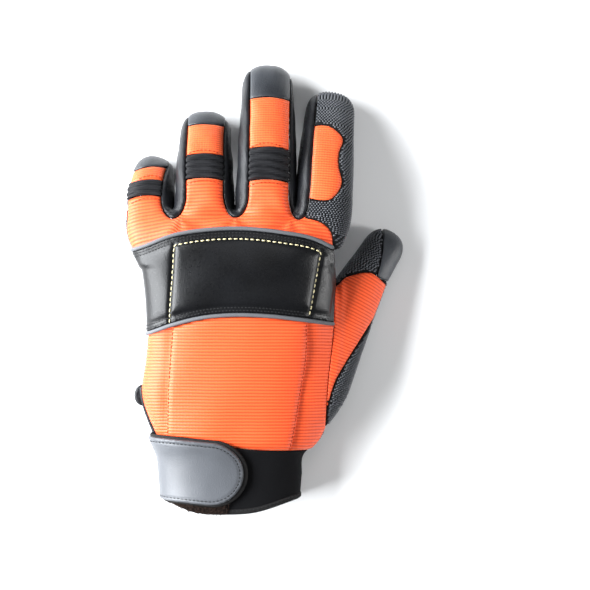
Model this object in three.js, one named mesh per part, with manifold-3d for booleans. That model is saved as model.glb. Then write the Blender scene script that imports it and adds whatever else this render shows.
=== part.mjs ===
// Chainsaw glove for the left hand, lying palm down on its cuff and its curled fingertips.
// Millimetres, +Z up: fingertips towards +Y, thumb at +X, the open cuff towards -Y.
// One soft hand form is worked out from section tables, hollowed, and cut along its seams
// into the sewn panels. Pieces that lie on top are thicker layers of the same form.
import * as THREE from 'three';
import { mergeVertices } from 'three/addons/utils/BufferGeometryUtils.js';
import Module from 'manifold-3d';

const wasm = await Module();
wasm.setup();

// Sizes of the hand form
const palmLength = 166;
const palmWidth = 108;
const palmDepth = 40;
const knuckleHeight = 34;
const fingerWidth = 29;
const fingerDepth = 25;
const littleReach = 54;
const ringReach = 80;
const middleReach = 107.5;
const indexReach = 92;
const fingertipLength = 13;
const thumbWidth = 34;
const thumbDepth = 27;
const thumbLength = 110;

// Sizes of the layers and seams
const wall = 2.2;
const seamGap = 0.3;
const seamArch = 3.4;
const knucklePadding = 2.4;
const pipingWidth = 2.6;
const pipingHeight = 2.9;
const backPadding = 1.6;
const hemHeight = 3.2;
const hemThickness = 0.7;
const loopPileThickness = 1;
const strapWidth = 35;
const strapReach = 49;
const strapBackingThickness = 1;
const strapThickness = 1.6;
const strapRim = 2;
const sideTabReach = 5;
const sideTabLength = 17;
const sideTabThickness = 1.8;
const sideTabHeight = 64; // from the cuff mouth
const sideTabInset = 0.02; // share of palmWidth, in from the side
const strapShare = 0.248; // share of palmLength, top edge of the strap
const strapFrom = -0.385; // share of palmWidth, where the strap's reach is measured from
const strapTilt = -5.5; // degrees, the end of the strap hangs towards the mouth
const strapWrap = 0.2; // share of knuckleHeight that the strap goes down the side

// How finely the form is faceted
const palmSides = 22;
const digitSides = 12;
const liningShare = 0.67; // the hidden inner skin has fewer facets than the outer one
const roundness = 2.4;
const beyond = 60; // room kept past the glove on every side
const tall = 90;
const strapTurns = 10;

// Sections of palm and cuff. along: share of palmLength. centre and wide: shares of palmWidth.
// rise: share of knuckleHeight. deep: share of palmDepth.
const palmSections = [
  { along: -0.09, centre: -0.008, wide: 0.68, rise: 0.5, deep: 0.93 },
  { along: 0.0, centre: -0.008, wide: 0.68, rise: 0.5, deep: 0.93 },
  { along: 0.12, centre: -0.008, wide: 0.7, rise: 0.5, deep: 0.93 },
  { along: 0.205, centre: -0.005, wide: 0.74, rise: 0.53, deep: 0.98 },
  { along: 0.24, centre: 0.012, wide: 0.82, rise: 0.55, deep: 1.03 },
  { along: 0.31, centre: 0.0, wide: 0.885, rise: 0.59, deep: 1.06 },
  { along: 0.4, centre: -0.01, wide: 0.943, rise: 0.65, deep: 1.06 },
  { along: 0.51, centre: 0.012, wide: 0.95, rise: 0.73, deep: 1.03 },
  { along: 0.61, centre: 0.028, wide: 0.945, rise: 0.81, deep: 0.99 },
  { along: 0.75, centre: 0.026, wide: 0.955, rise: 0.91, deep: 0.95 },
  { along: 0.88, centre: 0.016, wide: 0.985, rise: 0.98, deep: 0.87 },
  { along: 0.94, centre: 0.0, wide: 1.0, rise: 1.0, deep: 0.77 },
  { along: 0.98, centre: 0.0, wide: 0.98, rise: 1.0, deep: 0.58 },
  { along: 1.005, centre: 0.0, wide: 0.9, rise: 0.99, deep: 0.34 },
];

// Fingers. root, bow and tip: sideways places, shares of palmWidth. wide and deep: shares of the
// finger sizes. dive: degrees that the tip points down. lift: tip height, share of knuckleHeight.
// bandFoot, bandTop and capFoot: seams across the finger, shares of the reach.
// crotch: where the leather to its right turns round, share of palmLength. The index has none.
// leftRoll and rightRoll: leather that shows beside the back of the finger, shares of the width.
const fingers = [
  {
    name: 'little', root: -0.4, bow: -0.45, tip: -0.41, reach: littleReach, wide: 0.87,
    deep: 0.86, dive: 62, lift: 0.035, bandFoot: 0.665, bandTop: 0.835, capFoot: 0.975,
    leftRoll: 0, rightRoll: 0.24, crotch: 0.986,
  },
  {
    name: 'ring', root: -0.145, bow: -0.16, tip: -0.158, reach: ringReach, wide: 1.02,
    deep: 0.96, dive: 52, lift: 0.06, bandFoot: 0.565, bandTop: 0.738, capFoot: 0.955,
    leftRoll: 0.17, rightRoll: 0.13, crotch: 0.99,
  },
  {
    name: 'middle', root: 0.155, bow: 0.165, tip: 0.165, reach: middleReach, wide: 1.04,
    deep: 0.98, dive: 38, lift: 0.115, bandFoot: 0.41, bandTop: 0.58, capFoot: 0.845,
    leftRoll: 0.18, rightRoll: 0.08, crotch: 0.983,
  },
  {
    name: 'index', root: 0.42, bow: 0.47, tip: 0.5, reach: indexReach, wide: 1.01,
    deep: 0.94, dive: 42, lift: 0.09, bandFoot: 0.37, bandTop: 0.6, capFoot: 0.82,
    leftRoll: 0.22, rightRoll: 0,
  },
];
const fingerRoot = 0.85; // share of palmLength
const fingerPull = 0.38; // share of a finger's reach
const seamReach = 0.56; // half length of a seam across a finger, share of its width
const padHalfWidth = 0.27; // share of the finger's width
const padFoot = 1.5; // shares of fingertipLength before the tip
const padTop = 0.25;

// Sections of a finger from root to tip. along: share of its path. size: share of its section.
const fingerSections = [
  { along: 0, size: 0.65 },
  { along: 0.22, size: 1.06 },
  { along: 0.4, size: 1.04 },
  { along: 0.58, size: 1 },
  { along: 0.72, size: 0.95 },
];

// Rounding of a fingertip. back: share of fingertipLength before the end. size: as above.
const tipSections = [
  { back: 1, size: 0.94 },
  { back: 0.55, size: 0.83 },
  { back: 0.24, size: 0.64 },
  { back: 0.07, size: 0.38 },
];

// Route of the thumb. across: share of palmWidth, plus reach: share of thumbLength sideways.
// along: share of palmLength, plus ahead: share of thumbLength forwards. rise: of knuckleHeight.
const thumbRoute = [
  { across: 0.3, reach: 0, along: 0.28, ahead: 0, rise: 0.6 },
  { across: 0.3, reach: 0.115, along: 0.28, ahead: 0.2, rise: 0.58 },
  { across: 0.3, reach: 0.205, along: 0.28, ahead: 0.44, rise: 0.54 },
  { across: 0.3, reach: 0.35, along: 0.28, ahead: 0.74, rise: 0.42 },
  { across: 0.3, reach: 0.51, along: 0.28, ahead: 1, rise: 0.2 },
];
const thumbSections = [
  { along: 0, size: 0.6 },
  { along: 0.16, size: 0.95 },
  { along: 0.34, size: 1 },
  { along: 0.52, size: 0.93 },
  { along: 0.7, size: 0.8 },
  { along: 0.83, size: 0.68 },
];

// Seams of the back and palm, seen from above. across: share of palmWidth.
// along: share of palmLength.
const wristSeam = [
  { across: -0.75, along: 0.262 },
  { across: -0.395, along: 0.26 },
  { across: -0.185, along: 0.247 },
  { across: 0.03, along: 0.22 },
  { across: 0.45, along: 0.207 },
];
const thumbSeam = [
  { across: 0.47, along: 0.28 },
  { across: 0.475, along: 0.4 },
  { across: 0.51, along: 0.63 },
  { across: 0.515, along: 0.78 },
  { across: 0.506, along: 0.88 },
];
const webAcross = 0.63; // shares of the palm where the skin between thumb and index begins
const webAlong = 0.9;
const webTop = 1.06;
const indexBaseSeam = [
  { across: 0.498, along: 0.93 },
  { across: 0.483, along: 0.948 },
  { across: 0.44, along: 0.971 },
  { across: 0.37, along: 0.985 },
];
const indexPatchEdge = [
  { across: 0.33, along: 0.375 },
  { across: 0.5, along: 0.365 },
  { across: 0.548, along: 0.45 },
  { across: 0.533, along: 0.56 },
  { across: 0.535, along: 0.64 },
  { across: 0.556, along: 0.73 },
  { across: 0.5, along: 0.8 },
  { across: 0.33, along: 0.81 },
];
const knuckleTopEdge = [
  { across: -0.75, along: 0.868 },
  { across: -0.485, along: 0.884 },
  { across: -0.31, along: 0.922 },
  { across: -0.1, along: 0.941 },
  { across: 0.05, along: 0.943 },
  { across: 0.24, along: 0.931 },
  { across: 0.42, along: 0.908 },
  { across: 0.505, along: 0.882 },
];
const knuckleFootEdge = [
  { across: -0.75, along: 0.597 },
  { across: -0.45, along: 0.607 },
  { across: -0.32, along: 0.637 },
  { across: -0.15, along: 0.664 },
  { across: 0, along: 0.672 },
  { across: 0.16, along: 0.669 },
  { across: 0.33, along: 0.657 },
  { across: 0.503, along: 0.64 },
];
const backPadEdge = [
  { across: -0.318, along: 0.612 },
  { across: -0.335, along: 0.5 },
  { across: -0.345, along: 0.4 },
  { across: -0.35, along: 0.285 },
  { across: -0.185, along: 0.262 },
  { across: 0.03, along: 0.235 },
  { across: 0.288, along: 0.222 },
  { across: 0.316, along: 0.3 },
  { across: 0.34, along: 0.4 },
  { across: 0.37, along: 0.52 },
  { across: 0.372, along: 0.627 },
  { across: 0.16, along: 0.647 },
  { across: 0, along: 0.651 },
  { across: -0.15, along: 0.641 },
];
const thumbCrossSeam = [
  { across: 0.515, along: 0.78 },
  { across: 0.7, along: 0.8 },
  { across: 0.95, along: 0.735 },
];
const thumbCapEdge = [
  { across: 0.735, along: 0.793 },
  { across: 0.76, along: 0.86 },
  { across: 0.76, along: 1.05 },
  { across: 1.15, along: 1.05 },
  { across: 1.15, along: 0.68 },
];
const cuffMouth = [
  { across: -0.75, along: 0.045 },
  { across: -0.33, along: 0.035 },
  { across: -0.22, along: 0.008 },
  { across: -0.05, along: 0.0 },
  { across: 0.08, along: 0.004 },
  { across: 0.35, along: 0.052 },
  { across: 0.75, along: 0.06 },
];

const point = (x, y) => new THREE.Vector2(x, y);
const seam = (rows) => rows.map((row) => point(row.across * palmWidth, row.along * palmLength));
const shifted = (points, x, y) => points.map((each) => point(each.x + x, each.y + y));

// A closed three.js geometry becomes a solid that can be joined and cut.
function solid(geometry) {
  const bare = geometry.clone();
  bare.deleteAttribute('normal');
  bare.deleteAttribute('uv');
  const merged = mergeVertices(bare, 1e-5);
  const vertProperties = new Float32Array(merged.attributes.position.array);
  const triVerts = new Uint32Array(merged.index.array);
  return new wasm.Manifold(new wasm.Mesh({ numProp: 3, vertProperties, triVerts }));
}

function joined(solids) {
  return solids.reduce((whole, next) => whole.add(next));
}

// Rings of equally many points become one closed skin, flat at both ends.
function loft(rings) {
  const sides = rings[0].length;
  const positions = rings.flat().flatMap((each) => [each.x, each.y, each.z]);
  const faces = [];
  for (let row = 0; row + 1 < rings.length; row += 1) {
    for (let side = 0; side < sides; side += 1) {
      const here = row * sides + side;
      const next = row * sides + ((side + 1) % sides);
      faces.push(here, next, next + sides, here, next + sides, here + sides);
    }
  }
  const last = (rings.length - 1) * sides;
  for (let side = 1; side + 1 < sides; side += 1) {
    faces.push(0, side + 1, side);
    faces.push(last, last + side, last + side + 1);
  }
  const geometry = new THREE.BufferGeometry();
  geometry.setAttribute('position', new THREE.Float32BufferAttribute(positions, 3));
  geometry.setIndex(faces);
  return geometry;
}

// A soft rounded section across a path: a superellipse in the plane of side and up.
function sectionRing(centre, side, up, halfWide, halfDeep, sides) {
  const ring = [];
  for (let step = 0; step < sides; step += 1) {
    const angle = (step / sides) * 2 * Math.PI;
    const cos = Math.cos(angle);
    const sin = Math.sin(angle);
    const wide = Math.sign(cos) * Math.abs(cos) ** (2 / roundness) * halfWide;
    const deep = Math.sign(sin) * Math.abs(sin) ** (2 / roundness) * halfDeep;
    ring.push(centre.clone().addScaledVector(side, wide).addScaledVector(up, deep));
  }
  return ring;
}

const facets = (sides, offset) => (offset < 0 ? Math.round(sides * liningShare) : sides);

function palmForm(offset) {
  const side = new THREE.Vector3(-1, 0, 0);
  const up = new THREE.Vector3(0, 0, 1);
  const rings = palmSections.map((row) => {
    const ahead = row.along > 1 ? offset : 0;
    const centre = new THREE.Vector3(
      row.centre * palmWidth, row.along * palmLength + ahead, row.rise * knuckleHeight,
    );
    const halfWide = (row.wide * palmWidth) / 2 + offset;
    const halfDeep = (row.deep * palmDepth) / 2 + offset;
    return sectionRing(centre, side, up, halfWide, halfDeep, facets(palmSides, offset));
  });
  return loft(rings);
}

function fingerPath(finger) {
  const dive = THREE.MathUtils.degToRad(finger.dive);
  const pull = fingerPull * finger.reach;
  const rootY = fingerRoot * palmLength;
  const root = new THREE.Vector3(finger.root * palmWidth, rootY, knuckleHeight);
  const tip = new THREE.Vector3(
    finger.tip * palmWidth, rootY + finger.reach, finger.lift * knuckleHeight,
  );
  const afterRoot = new THREE.Vector3(finger.bow * palmWidth, rootY + pull, knuckleHeight);
  const beforeTip = new THREE.Vector3(
    finger.bow * palmWidth, tip.y - pull * Math.cos(dive), tip.z + pull * Math.sin(dive),
  );
  return new THREE.CubicBezierCurve3(root, afterRoot, beforeTip, tip);
}

function thumbPath() {
  const stops = thumbRoute.map((row) => new THREE.Vector3(
    row.across * palmWidth + row.reach * thumbLength,
    row.along * palmLength + row.ahead * thumbLength,
    row.rise * knuckleHeight,
  ));
  return new THREE.CatmullRomCurve3(stops);
}

// A finger or the thumb: sections along its path, closed by a rounded tip.
function digitForm(path, sections, wide, deep, offset) {
  const length = path.getLength();
  const rows = sections.map((row) => ({ along: row.along, size: row.size, ahead: 0 }));
  const bodySize = sections[sections.length - 1].size;
  for (const row of tipSections) {
    rows.push({
      along: 1 - (row.back * fingertipLength) / length,
      size: row.size * bodySize,
      ahead: offset * (1 - row.back),
    });
  }
  const rings = rows.map((row) => {
    const forward = path.getTangentAt(row.along);
    const centre = path.getPointAt(row.along).addScaledVector(forward, row.ahead);
    const side = new THREE.Vector3(-forward.y, forward.x, 0).normalize();
    const up = new THREE.Vector3().crossVectors(forward, side);
    const halfWide = (row.size * wide) / 2 + offset;
    const halfDeep = (row.size * deep) / 2 + offset;
    return sectionRing(centre, side, up, halfWide, halfDeep, facets(digitSides, offset));
  });
  return loft(rings);
}

const fingerPaths = fingers.map(fingerPath);
const thumb = thumbPath();

// The hand form, grown or shrunk by an offset and flattened where it lies on the surface.
function handForm(offset) {
  const digits = fingers.map((finger, index) => digitForm(
    fingerPaths[index], fingerSections, finger.wide * fingerWidth, finger.deep * fingerDepth, offset,
  ));
  digits.push(digitForm(thumb, thumbSections, thumbWidth, thumbDepth, offset));
  const whole = joined([palmForm(offset), ...digits].map(solid));
  const size = 4 * (palmLength + middleReach);
  const room = new THREE.BoxGeometry(size, size, size);
  room.translate(0, 0, size / 2 + Math.max(0, -offset));
  return whole.intersect(solid(room));
}

function layer(outside, inside) {
  return handForm(outside).subtract(handForm(inside));
}

// Height of the surface that parts the back of the hand from the palm side: near each finger
// it follows the finger's path, elsewhere the middle of the palm.
const pathSamples = 30;
const reachOfBlend = 7;
const sampledPaths = [...fingerPaths, thumb].map((path) => path.getSpacedPoints(pathSamples));
const leastWeight = 1e-9;
function nearness(distance) {
  return Math.exp(-((distance / reachOfBlend) ** 2)) + leastWeight / (1 + distance);
}
function palmMiddle(x, y) {
  const along = THREE.MathUtils.clamp(y / palmLength, palmSections[0].along, 1);
  const next = Math.max(1, palmSections.findIndex((row) => row.along >= along));
  const low = palmSections[next - 1];
  const high = palmSections[next];
  const share = (along - low.along) / (high.along - low.along);
  const rise = THREE.MathUtils.lerp(low.rise, high.rise, share) * knuckleHeight;
  const centre = THREE.MathUtils.lerp(low.centre, high.centre, share) * palmWidth;
  const halfWide = (THREE.MathUtils.lerp(low.wide, high.wide, share) * palmWidth) / 2;
  const beside = Math.max(0, Math.abs(x - centre) - halfWide);
  const past = Math.max(0, y - palmLength);
  return { height: rise, weight: nearness(Math.hypot(beside, past)) };
}
function middleHeight(x, y) {
  const palm = palmMiddle(x, y);
  let total = palm.weight;
  let sum = palm.weight * palm.height;
  for (const samples of sampledPaths) {
    let nearest = samples[0];
    for (const sample of samples) {
      if (Math.hypot(sample.x - x, sample.y - y) < Math.hypot(nearest.x - x, nearest.y - y)) {
        nearest = sample;
      }
    }
    const weight = nearness(Math.hypot(nearest.x - x, nearest.y - y));
    total += weight;
    sum += weight * nearest.z;
  }
  return sum / total;
}

// All the room above (or below) the parting surface, kept a given clearance away from it.
const gridStep = 11;
function half(direction, clearance) {
  const left = -palmWidth / 2 - beyond;
  const right = palmWidth / 2 + thumbLength;
  const front = palmSections[0].along * palmLength - beyond;
  const back = palmLength + middleReach + beyond;
  const columns = Math.round((right - left) / gridStep);
  const rows = Math.round((back - front) / gridStep);
  const rings = [];
  for (let column = 0; column <= columns; column += 1) {
    const x = THREE.MathUtils.lerp(left, right, column / columns);
    const ring = [];
    for (let row = 0; row <= rows; row += 1) {
      const y = THREE.MathUtils.lerp(front, back, row / rows);
      ring.push(new THREE.Vector3(x, y, middleHeight(x, y) + direction * clearance));
    }
    ring.push(new THREE.Vector3(x, back, direction * tall));
    ring.push(new THREE.Vector3(x, front, direction * tall));
    rings.push(ring);
  }
  return solid(halfSkin(rings, direction));
}

// Both halves share one faceting. The ends are polygons with many points, so three.js
// triangulates them, and each triangle is turned to face out.
function halfSkin(rings, direction) {
  const sides = rings[0].length;
  const last = (rings.length - 1) * sides;
  const geometry = loft(rings);
  const skin = Array.from(geometry.index.array).slice(0, last * 6);
  const faces = direction > 0 ? skin : skin.reverse();
  for (const [first, facing] of [[0, -1], [last, 1]]) {
    const ring = rings[first / sides].map((each) => point(each.y, each.z));
    for (const corners of THREE.ShapeUtils.triangulateShape(ring, [])) {
      const turn = THREE.ShapeUtils.area(corners.map((corner) => ring[corner])) * facing;
      const face = corners.map((corner) => first + corner);
      faces.push(...(turn > 0 ? face : face.reverse()));
    }
  }
  geometry.setIndex(faces);
  return geometry;
}

// A closed outline moved inwards by a distance, corner by corner. A sharp corner moves no
// further than its least turn allows.
const leastTurn = 0.4;
function inset(points, distance) {
  const turn = THREE.ShapeUtils.isClockWise(points) ? -1 : 1;
  return points.map((here, index) => {
    const before = points[(index + points.length - 1) % points.length];
    const after = points[(index + 1) % points.length];
    const incoming = here.clone().sub(before).normalize();
    const outgoing = after.clone().sub(here).normalize();
    const inward = point(-incoming.y - outgoing.y, incoming.x + outgoing.x).normalize();
    const stretch = Math.max(leastTurn, inward.dot(point(-outgoing.y, outgoing.x)));
    return here.clone().addScaledVector(inward, (turn * distance) / stretch);
  });
}

// A tall prism over an outline seen from above. A seam keeps half its gap on each side.
function prism(points, clearance = seamGap / 2) {
  const shape = new THREE.Shape(inset(points, clearance));
  const geometry = new THREE.ExtrudeGeometry(shape, { depth: 2 * tall, bevelEnabled: false });
  geometry.translate(0, 0, -tall);
  return solid(geometry);
}

const above = half(1, seamGap / 2);
const below = half(-1, seamGap / 2);

// Plan place of a finger's middle line at a height up the page.
function fingerMiddle(index, y) {
  const samples = sampledPaths[index];
  const next = samples.findIndex((sample) => sample.y >= y);
  if (next < 1) {
    return next === 0 ? samples[0].x : samples[samples.length - 1].x;
  }
  const low = samples[next - 1];
  const high = samples[next];
  return THREE.MathUtils.lerp(low.x, high.x, (y - low.y) / (high.y - low.y));
}
function alongFinger(index, share) {
  return fingerRoot * palmLength + share * fingers[index].reach;
}

// A seam across the back of a finger, arched towards the tip in its middle.
function crossSeam(index, share) {
  const y = alongFinger(index, share);
  const reachSideways = fingers[index].wide * fingerWidth * seamReach;
  const stops = [-1, -0.45, 0, 0.45, 1];
  return stops.map((stop) => point(
    fingerMiddle(index, y) + stop * reachSideways, y - seamArch * stop * stop,
  ));
}
function acrossBand(index, low, high) {
  return [...crossSeam(index, low), ...crossSeam(index, high).reverse()];
}
function fingertipEdge(index, share) {
  const foot = crossSeam(index, share);
  const ends = [foot[foot.length - 1], foot[0]];
  const past = alongFinger(index, 1) + fingertipLength;
  return [...foot, ...ends.map((each) => point(each.x, past))];
}

// Leather between two fingers: a U round the crotch that shows as a roll beside each back.
const crotchTurns = 6;
function sideLeatherEdge(index) {
  const leftFinger = fingers[index];
  const rightFinger = fingers[index + 1];
  const foot = leftFinger.crotch * palmLength;
  const leftLine = (y) => fingerMiddle(index, y)
    + (0.5 - leftFinger.rightRoll) * leftFinger.wide * fingerWidth;
  const rightLine = (y) => fingerMiddle(index + 1, y)
    - (0.5 - rightFinger.leftRoll) * rightFinger.wide * fingerWidth;
  const climb = (line, top) => {
    const stops = [0, 0.25, 0.6, 1];
    return stops.map((stop) => {
      const y = THREE.MathUtils.lerp(foot + fingertipLength, top, stop);
      return point(line(y), y);
    });
  };
  const leftTop = alongFinger(index, 1) + fingertipLength;
  const rightTop = alongFinger(index + 1, 1) + fingertipLength;
  const left = climb(leftLine, leftTop);
  const right = climb(rightLine, rightTop);
  const middle = (left[0].x + right[0].x) / 2;
  const radius = (right[0].x - left[0].x) / 2;
  const bend = [];
  for (let turn = 1; turn < crotchTurns; turn += 1) {
    const angle = Math.PI * (1 + turn / crotchTurns);
    const x = middle + radius * Math.cos(angle);
    bend.push(point(x, left[0].y + fingertipLength * Math.sin(angle)));
  }
  return [...left.reverse(), ...bend, ...right];
}

// Outlines of the panels, seen from above
const farLeft = -palmWidth / 2 - beyond / 2;
const farRight = palmWidth / 2 + thumbLength;
const farTop = palmLength + middleReach + beyond / 2;
const wrist = seam(wristSeam);
const thumbFold = seam(thumbSeam);
const indexBase = seam(indexBaseSeam);
const sideLeathers = [0, 1, 2].map(sideLeatherEdge);
const gapMiddle = (index) => (
  THREE.MathUtils.lerp(fingers[index].root, fingers[index + 1].root, 0.5) * palmWidth
);

const crotchInside = (index) => point(
  gapMiddle(index), fingers[index].crotch * palmLength + fingertipLength / 2,
);
function backPanelEdge() {
  const tops = [0, 1, 2].map((index) => crossSeam(index, fingers[index].bandFoot).reverse());
  return [
    ...wrist, ...thumbFold, ...indexBase, crotchInside(2), ...tops[2], crotchInside(1),
    ...tops[1], crotchInside(0), ...tops[0],
    point(farLeft, alongFinger(0, fingers[0].bandFoot)),
  ];
}
function indexWrapEdge() {
  return [
    crotchInside(2), ...indexBase.slice().reverse(),
    thumbFold[thumbFold.length - 1], point(palmWidth * webAcross, palmLength * webAlong),
    point(palmWidth * webAcross, farTop), point(gapMiddle(2), farTop),
  ];
}
const fingerPalmFoot = 1.02;
function palmPanelEdge() {
  const foot = fingerPalmFoot * palmLength;
  return [
    ...wrist, ...thumbFold, point(palmWidth * webAcross, palmLength * webAlong),
    point(palmWidth * webAcross, farTop), point(gapMiddle(2), farTop), point(gapMiddle(2), foot),
    point(farLeft, foot),
  ];
}
function fingerPalmEdge(index) {
  const foot = fingerPalmFoot * palmLength;
  const left = index === 0 ? farLeft : gapMiddle(index - 1);
  const right = gapMiddle(index);
  const top = alongFinger(index, 1) + fingertipLength;
  return [point(left, foot), point(right, foot), point(right, top), point(left, top)];
}
function gripPadEdge(index) {
  const finger = fingers[index];
  const halfWide = finger.wide * fingerWidth * padHalfWidth;
  const low = alongFinger(index, 1) - fingertipLength * padFoot;
  const high = alongFinger(index, 1) - fingertipLength * padTop;
  const outline = [
    [-1, 0], [1, 0], [1, 0.6], [0.75, 0.86], [0.3, 1], [-0.3, 1], [-0.75, 0.86], [-1, 0.6],
  ];
  return outline.map(([side, up]) => {
    const y = THREE.MathUtils.lerp(low, high, up);
    return point(fingerMiddle(index, y) + side * halfWide, y);
  });
}
function thumbRegionEdge() {
  return [
    ...thumbFold, point(palmWidth * webAcross, palmLength * webAlong),
    point(palmWidth * webAcross, palmLength * webTop), point(farRight, palmLength * webTop),
    point(farRight, wrist[4].y), wrist[4],
  ];
}
function thumbPanelEdge() {
  return [...thumbFold.slice(0, 3), ...seam(thumbCrossSeam), point(farRight, wrist[4].y), wrist[4]];
}
function belowWrist() {
  const corner = wrist[4];
  return [
    ...wrist, point(farRight, corner.y), point(farRight, -beyond), point(farLeft, -beyond),
  ];
}
function strip(points, width) {
  return [...points, ...shifted(points, 0, width).reverse()];
}
const mouth = seam(cuffMouth);
const aboveHem = [
  ...shifted(mouth, 0, hemHeight), point(mouth[6].x, farTop), point(mouth[0].x, farTop),
];

// The strap crosses the cuff at a slight tilt and ends in a half round.
const strapTop = strapShare * palmLength;
const strapEnd = strapFrom * palmWidth + strapReach;
function strapEdge(rim) {
  const radius = strapWidth / 2 + rim;
  const middle = strapTop - strapWidth / 2;
  const outline = [point(farLeft, middle - radius), point(strapEnd - radius, middle - radius)];
  for (let turn = 1; turn <= strapTurns; turn += 1) {
    const angle = -Math.PI / 2 + (Math.PI * turn) / strapTurns;
    const x = strapEnd + rim - radius + radius * Math.cos(angle);
    outline.push(point(x, middle + radius * Math.sin(angle)));
  }
  outline.push(point(farLeft, middle + radius));
  const pivot = point(strapEnd - strapReach / 2, middle);
  const tilt = THREE.MathUtils.degToRad(strapTilt);
  return outline.map((each) => each.rotateAround(pivot, tilt));
}
const pileFootRise = 1.2; // shares of hemHeight above the mouth, and one more at the side
const pileSideRise = 1.6;
const pileCorner = -0.22; // shares of palmWidth
const pileRight = -0.03;
const pileTop = strapTop - strapRim * 2;
const loopPileEdge = [
  point(-palmWidth / 2, mouth[2].y + hemHeight * pileSideRise),
  point(pileCorner * palmWidth, mouth[2].y + hemHeight * pileFootRise),
  point(pileRight * palmWidth, mouth[3].y + hemHeight * pileFootRise),
  point(pileRight * palmWidth, pileTop),
  point(-palmWidth / 2, pileTop),
];

// Layers of the hand form
const shell = layer(0, -wall);
const leatherRooms = joined(sideLeathers.map((edge) => prism(edge, -seamGap / 2)));
const panels = shell.subtract(leatherRooms);
const backs = panels.intersect(above);
const palms = panels.intersect(below);

// Colours and finishes
const finishes = {
  orange: { color: 0xff6e32, roughness: 0.85 },
  leather: { color: 0x30343a, roughness: 0.5 },
  knuckle: { color: 0x26282c, roughness: 0.35 },
  piping: { color: 0x8a8f96, roughness: 0.45 },
  band: { color: 0x1b1c1f, roughness: 0.8 },
  grip: { color: 0x2a2d31, roughness: 0.6 },
  neoprene: { color: 0x1e1f22, roughness: 0.8 },
  pile: { color: 0x3a2a24, roughness: 1 },
  strap: { color: 0x6c7076, roughness: 0.5 },
};

const glove = new THREE.Group();
// A cut can leave a crumb beside a seam, so a piece is the largest body of its cut.
function addPiece(name, finish, cut) {
  const bodies = cut.decompose();
  const mesh = bodies.reduce((most, next) => (next.volume() > most.volume() ? next : most)).getMesh();
  const geometry = new THREE.BufferGeometry();
  geometry.setAttribute('position', new THREE.Float32BufferAttribute(mesh.vertProperties, 3));
  geometry.setIndex(Array.from(mesh.triVerts));
  geometry.computeVertexNormals();
  const material = new THREE.MeshStandardMaterial({ ...finishes[finish], metalness: 0 });
  const piece = new THREE.Mesh(geometry, material);
  piece.name = name;
  glove.add(piece);
}

// Back of the hand
addPiece('back_panel', 'orange', backs.intersect(prism(backPanelEdge())));
for (const index of [0, 1, 2]) {
  const finger = fingers[index];
  const patch = acrossBand(index, finger.bandTop, finger.capFoot);
  const band = acrossBand(index, finger.bandFoot, finger.bandTop);
  addPiece(`${finger.name}_patch`, 'orange', backs.intersect(prism(patch)));
  addPiece(`${finger.name}_band`, 'band', backs.intersect(prism(band)));
  addPiece(`${finger.name}_cap`, 'leather', backs.intersect(prism(fingertipEdge(index, finger.capFoot))));
}

// Index patch, let into the grip fabric that wraps the finger
const indexPatch = indexPatchEdge.map((row) => point(
  row.across * palmWidth, alongFinger(3, row.along),
));
addPiece('index_patch', 'orange', backs.intersect(prism(indexPatch)));

// Palm side
const indexPatchRoom = prism(indexPatch, -seamGap / 2).intersect(half(1, -seamGap));
const gripRegion = below.intersect(prism(palmPanelEdge())).add(prism(indexWrapEdge()));
addPiece('palm_panel', 'grip', panels.intersect(gripRegion).subtract(indexPatchRoom));
for (const index of [0, 1, 2]) {
  const name = fingers[index].name;
  const pad = gripPadEdge(index);
  const lower = palms.intersect(prism(fingerPalmEdge(index)));
  addPiece(`${name}_palm`, 'leather', lower.subtract(prism(pad, -seamGap / 2)));
  addPiece(`${name}_grip_pad`, 'grip', lower.intersect(prism(pad)));
}
['little_ring', 'ring_middle', 'middle_index'].forEach((name, index) => {
  addPiece(`${name}_side`, 'leather', shell.intersect(prism(sideLeathers[index])));
});

// Thumb
const thumbRegion = prism(thumbRegionEdge());
const thumbCap = seam(thumbCapEdge);
const thumbOrangeRoom = prism(thumbPanelEdge(), -seamGap / 2).intersect(half(1, -seamGap));
const thumbRest = panels.intersect(thumbRegion).subtract(thumbOrangeRoom);
addPiece('thumb_panel', 'orange', backs.intersect(prism(thumbPanelEdge())));
addPiece('thumb_cap', 'leather', thumbRest.intersect(prism(thumbCap)));
addPiece('thumb_grip', 'grip', thumbRest.subtract(prism(thumbCap, -seamGap / 2)));

// Cuff and hem
const cuffRegion = prism(belowWrist());
addPiece('cuff', 'neoprene', shell.intersect(cuffRegion).intersect(prism(aboveHem)));
addPiece('cuff_hem', 'band', layer(hemThickness, -wall - hemThickness)
  .intersect(prism(strip(mouth, hemHeight))));

// Layers sewn on top of the back
const topOnly = half(1, seamGap);
const knuckleEdge = [...seam(knuckleFootEdge), ...seam(knuckleTopEdge).reverse()];
const upperPiping = strip(seam(knuckleTopEdge), pipingWidth);
const lowerPiping = strip(shifted(seam(knuckleFootEdge), 0, -pipingWidth), pipingWidth);
addPiece('knuckle_panel', 'knuckle', layer(seamGap + knucklePadding, seamGap)
  .intersect(prism(knuckleEdge)).intersect(topOnly));
const pipingLayer = layer(seamGap + pipingHeight, seamGap).intersect(topOnly);
addPiece('upper_piping', 'piping', pipingLayer.intersect(prism(upperPiping)));
addPiece('lower_piping', 'piping', pipingLayer.intersect(prism(lowerPiping)));
addPiece('back_pad', 'orange', layer(seamGap + backPadding, seamGap)
  .intersect(prism(seam(backPadEdge))).intersect(topOnly));

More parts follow.
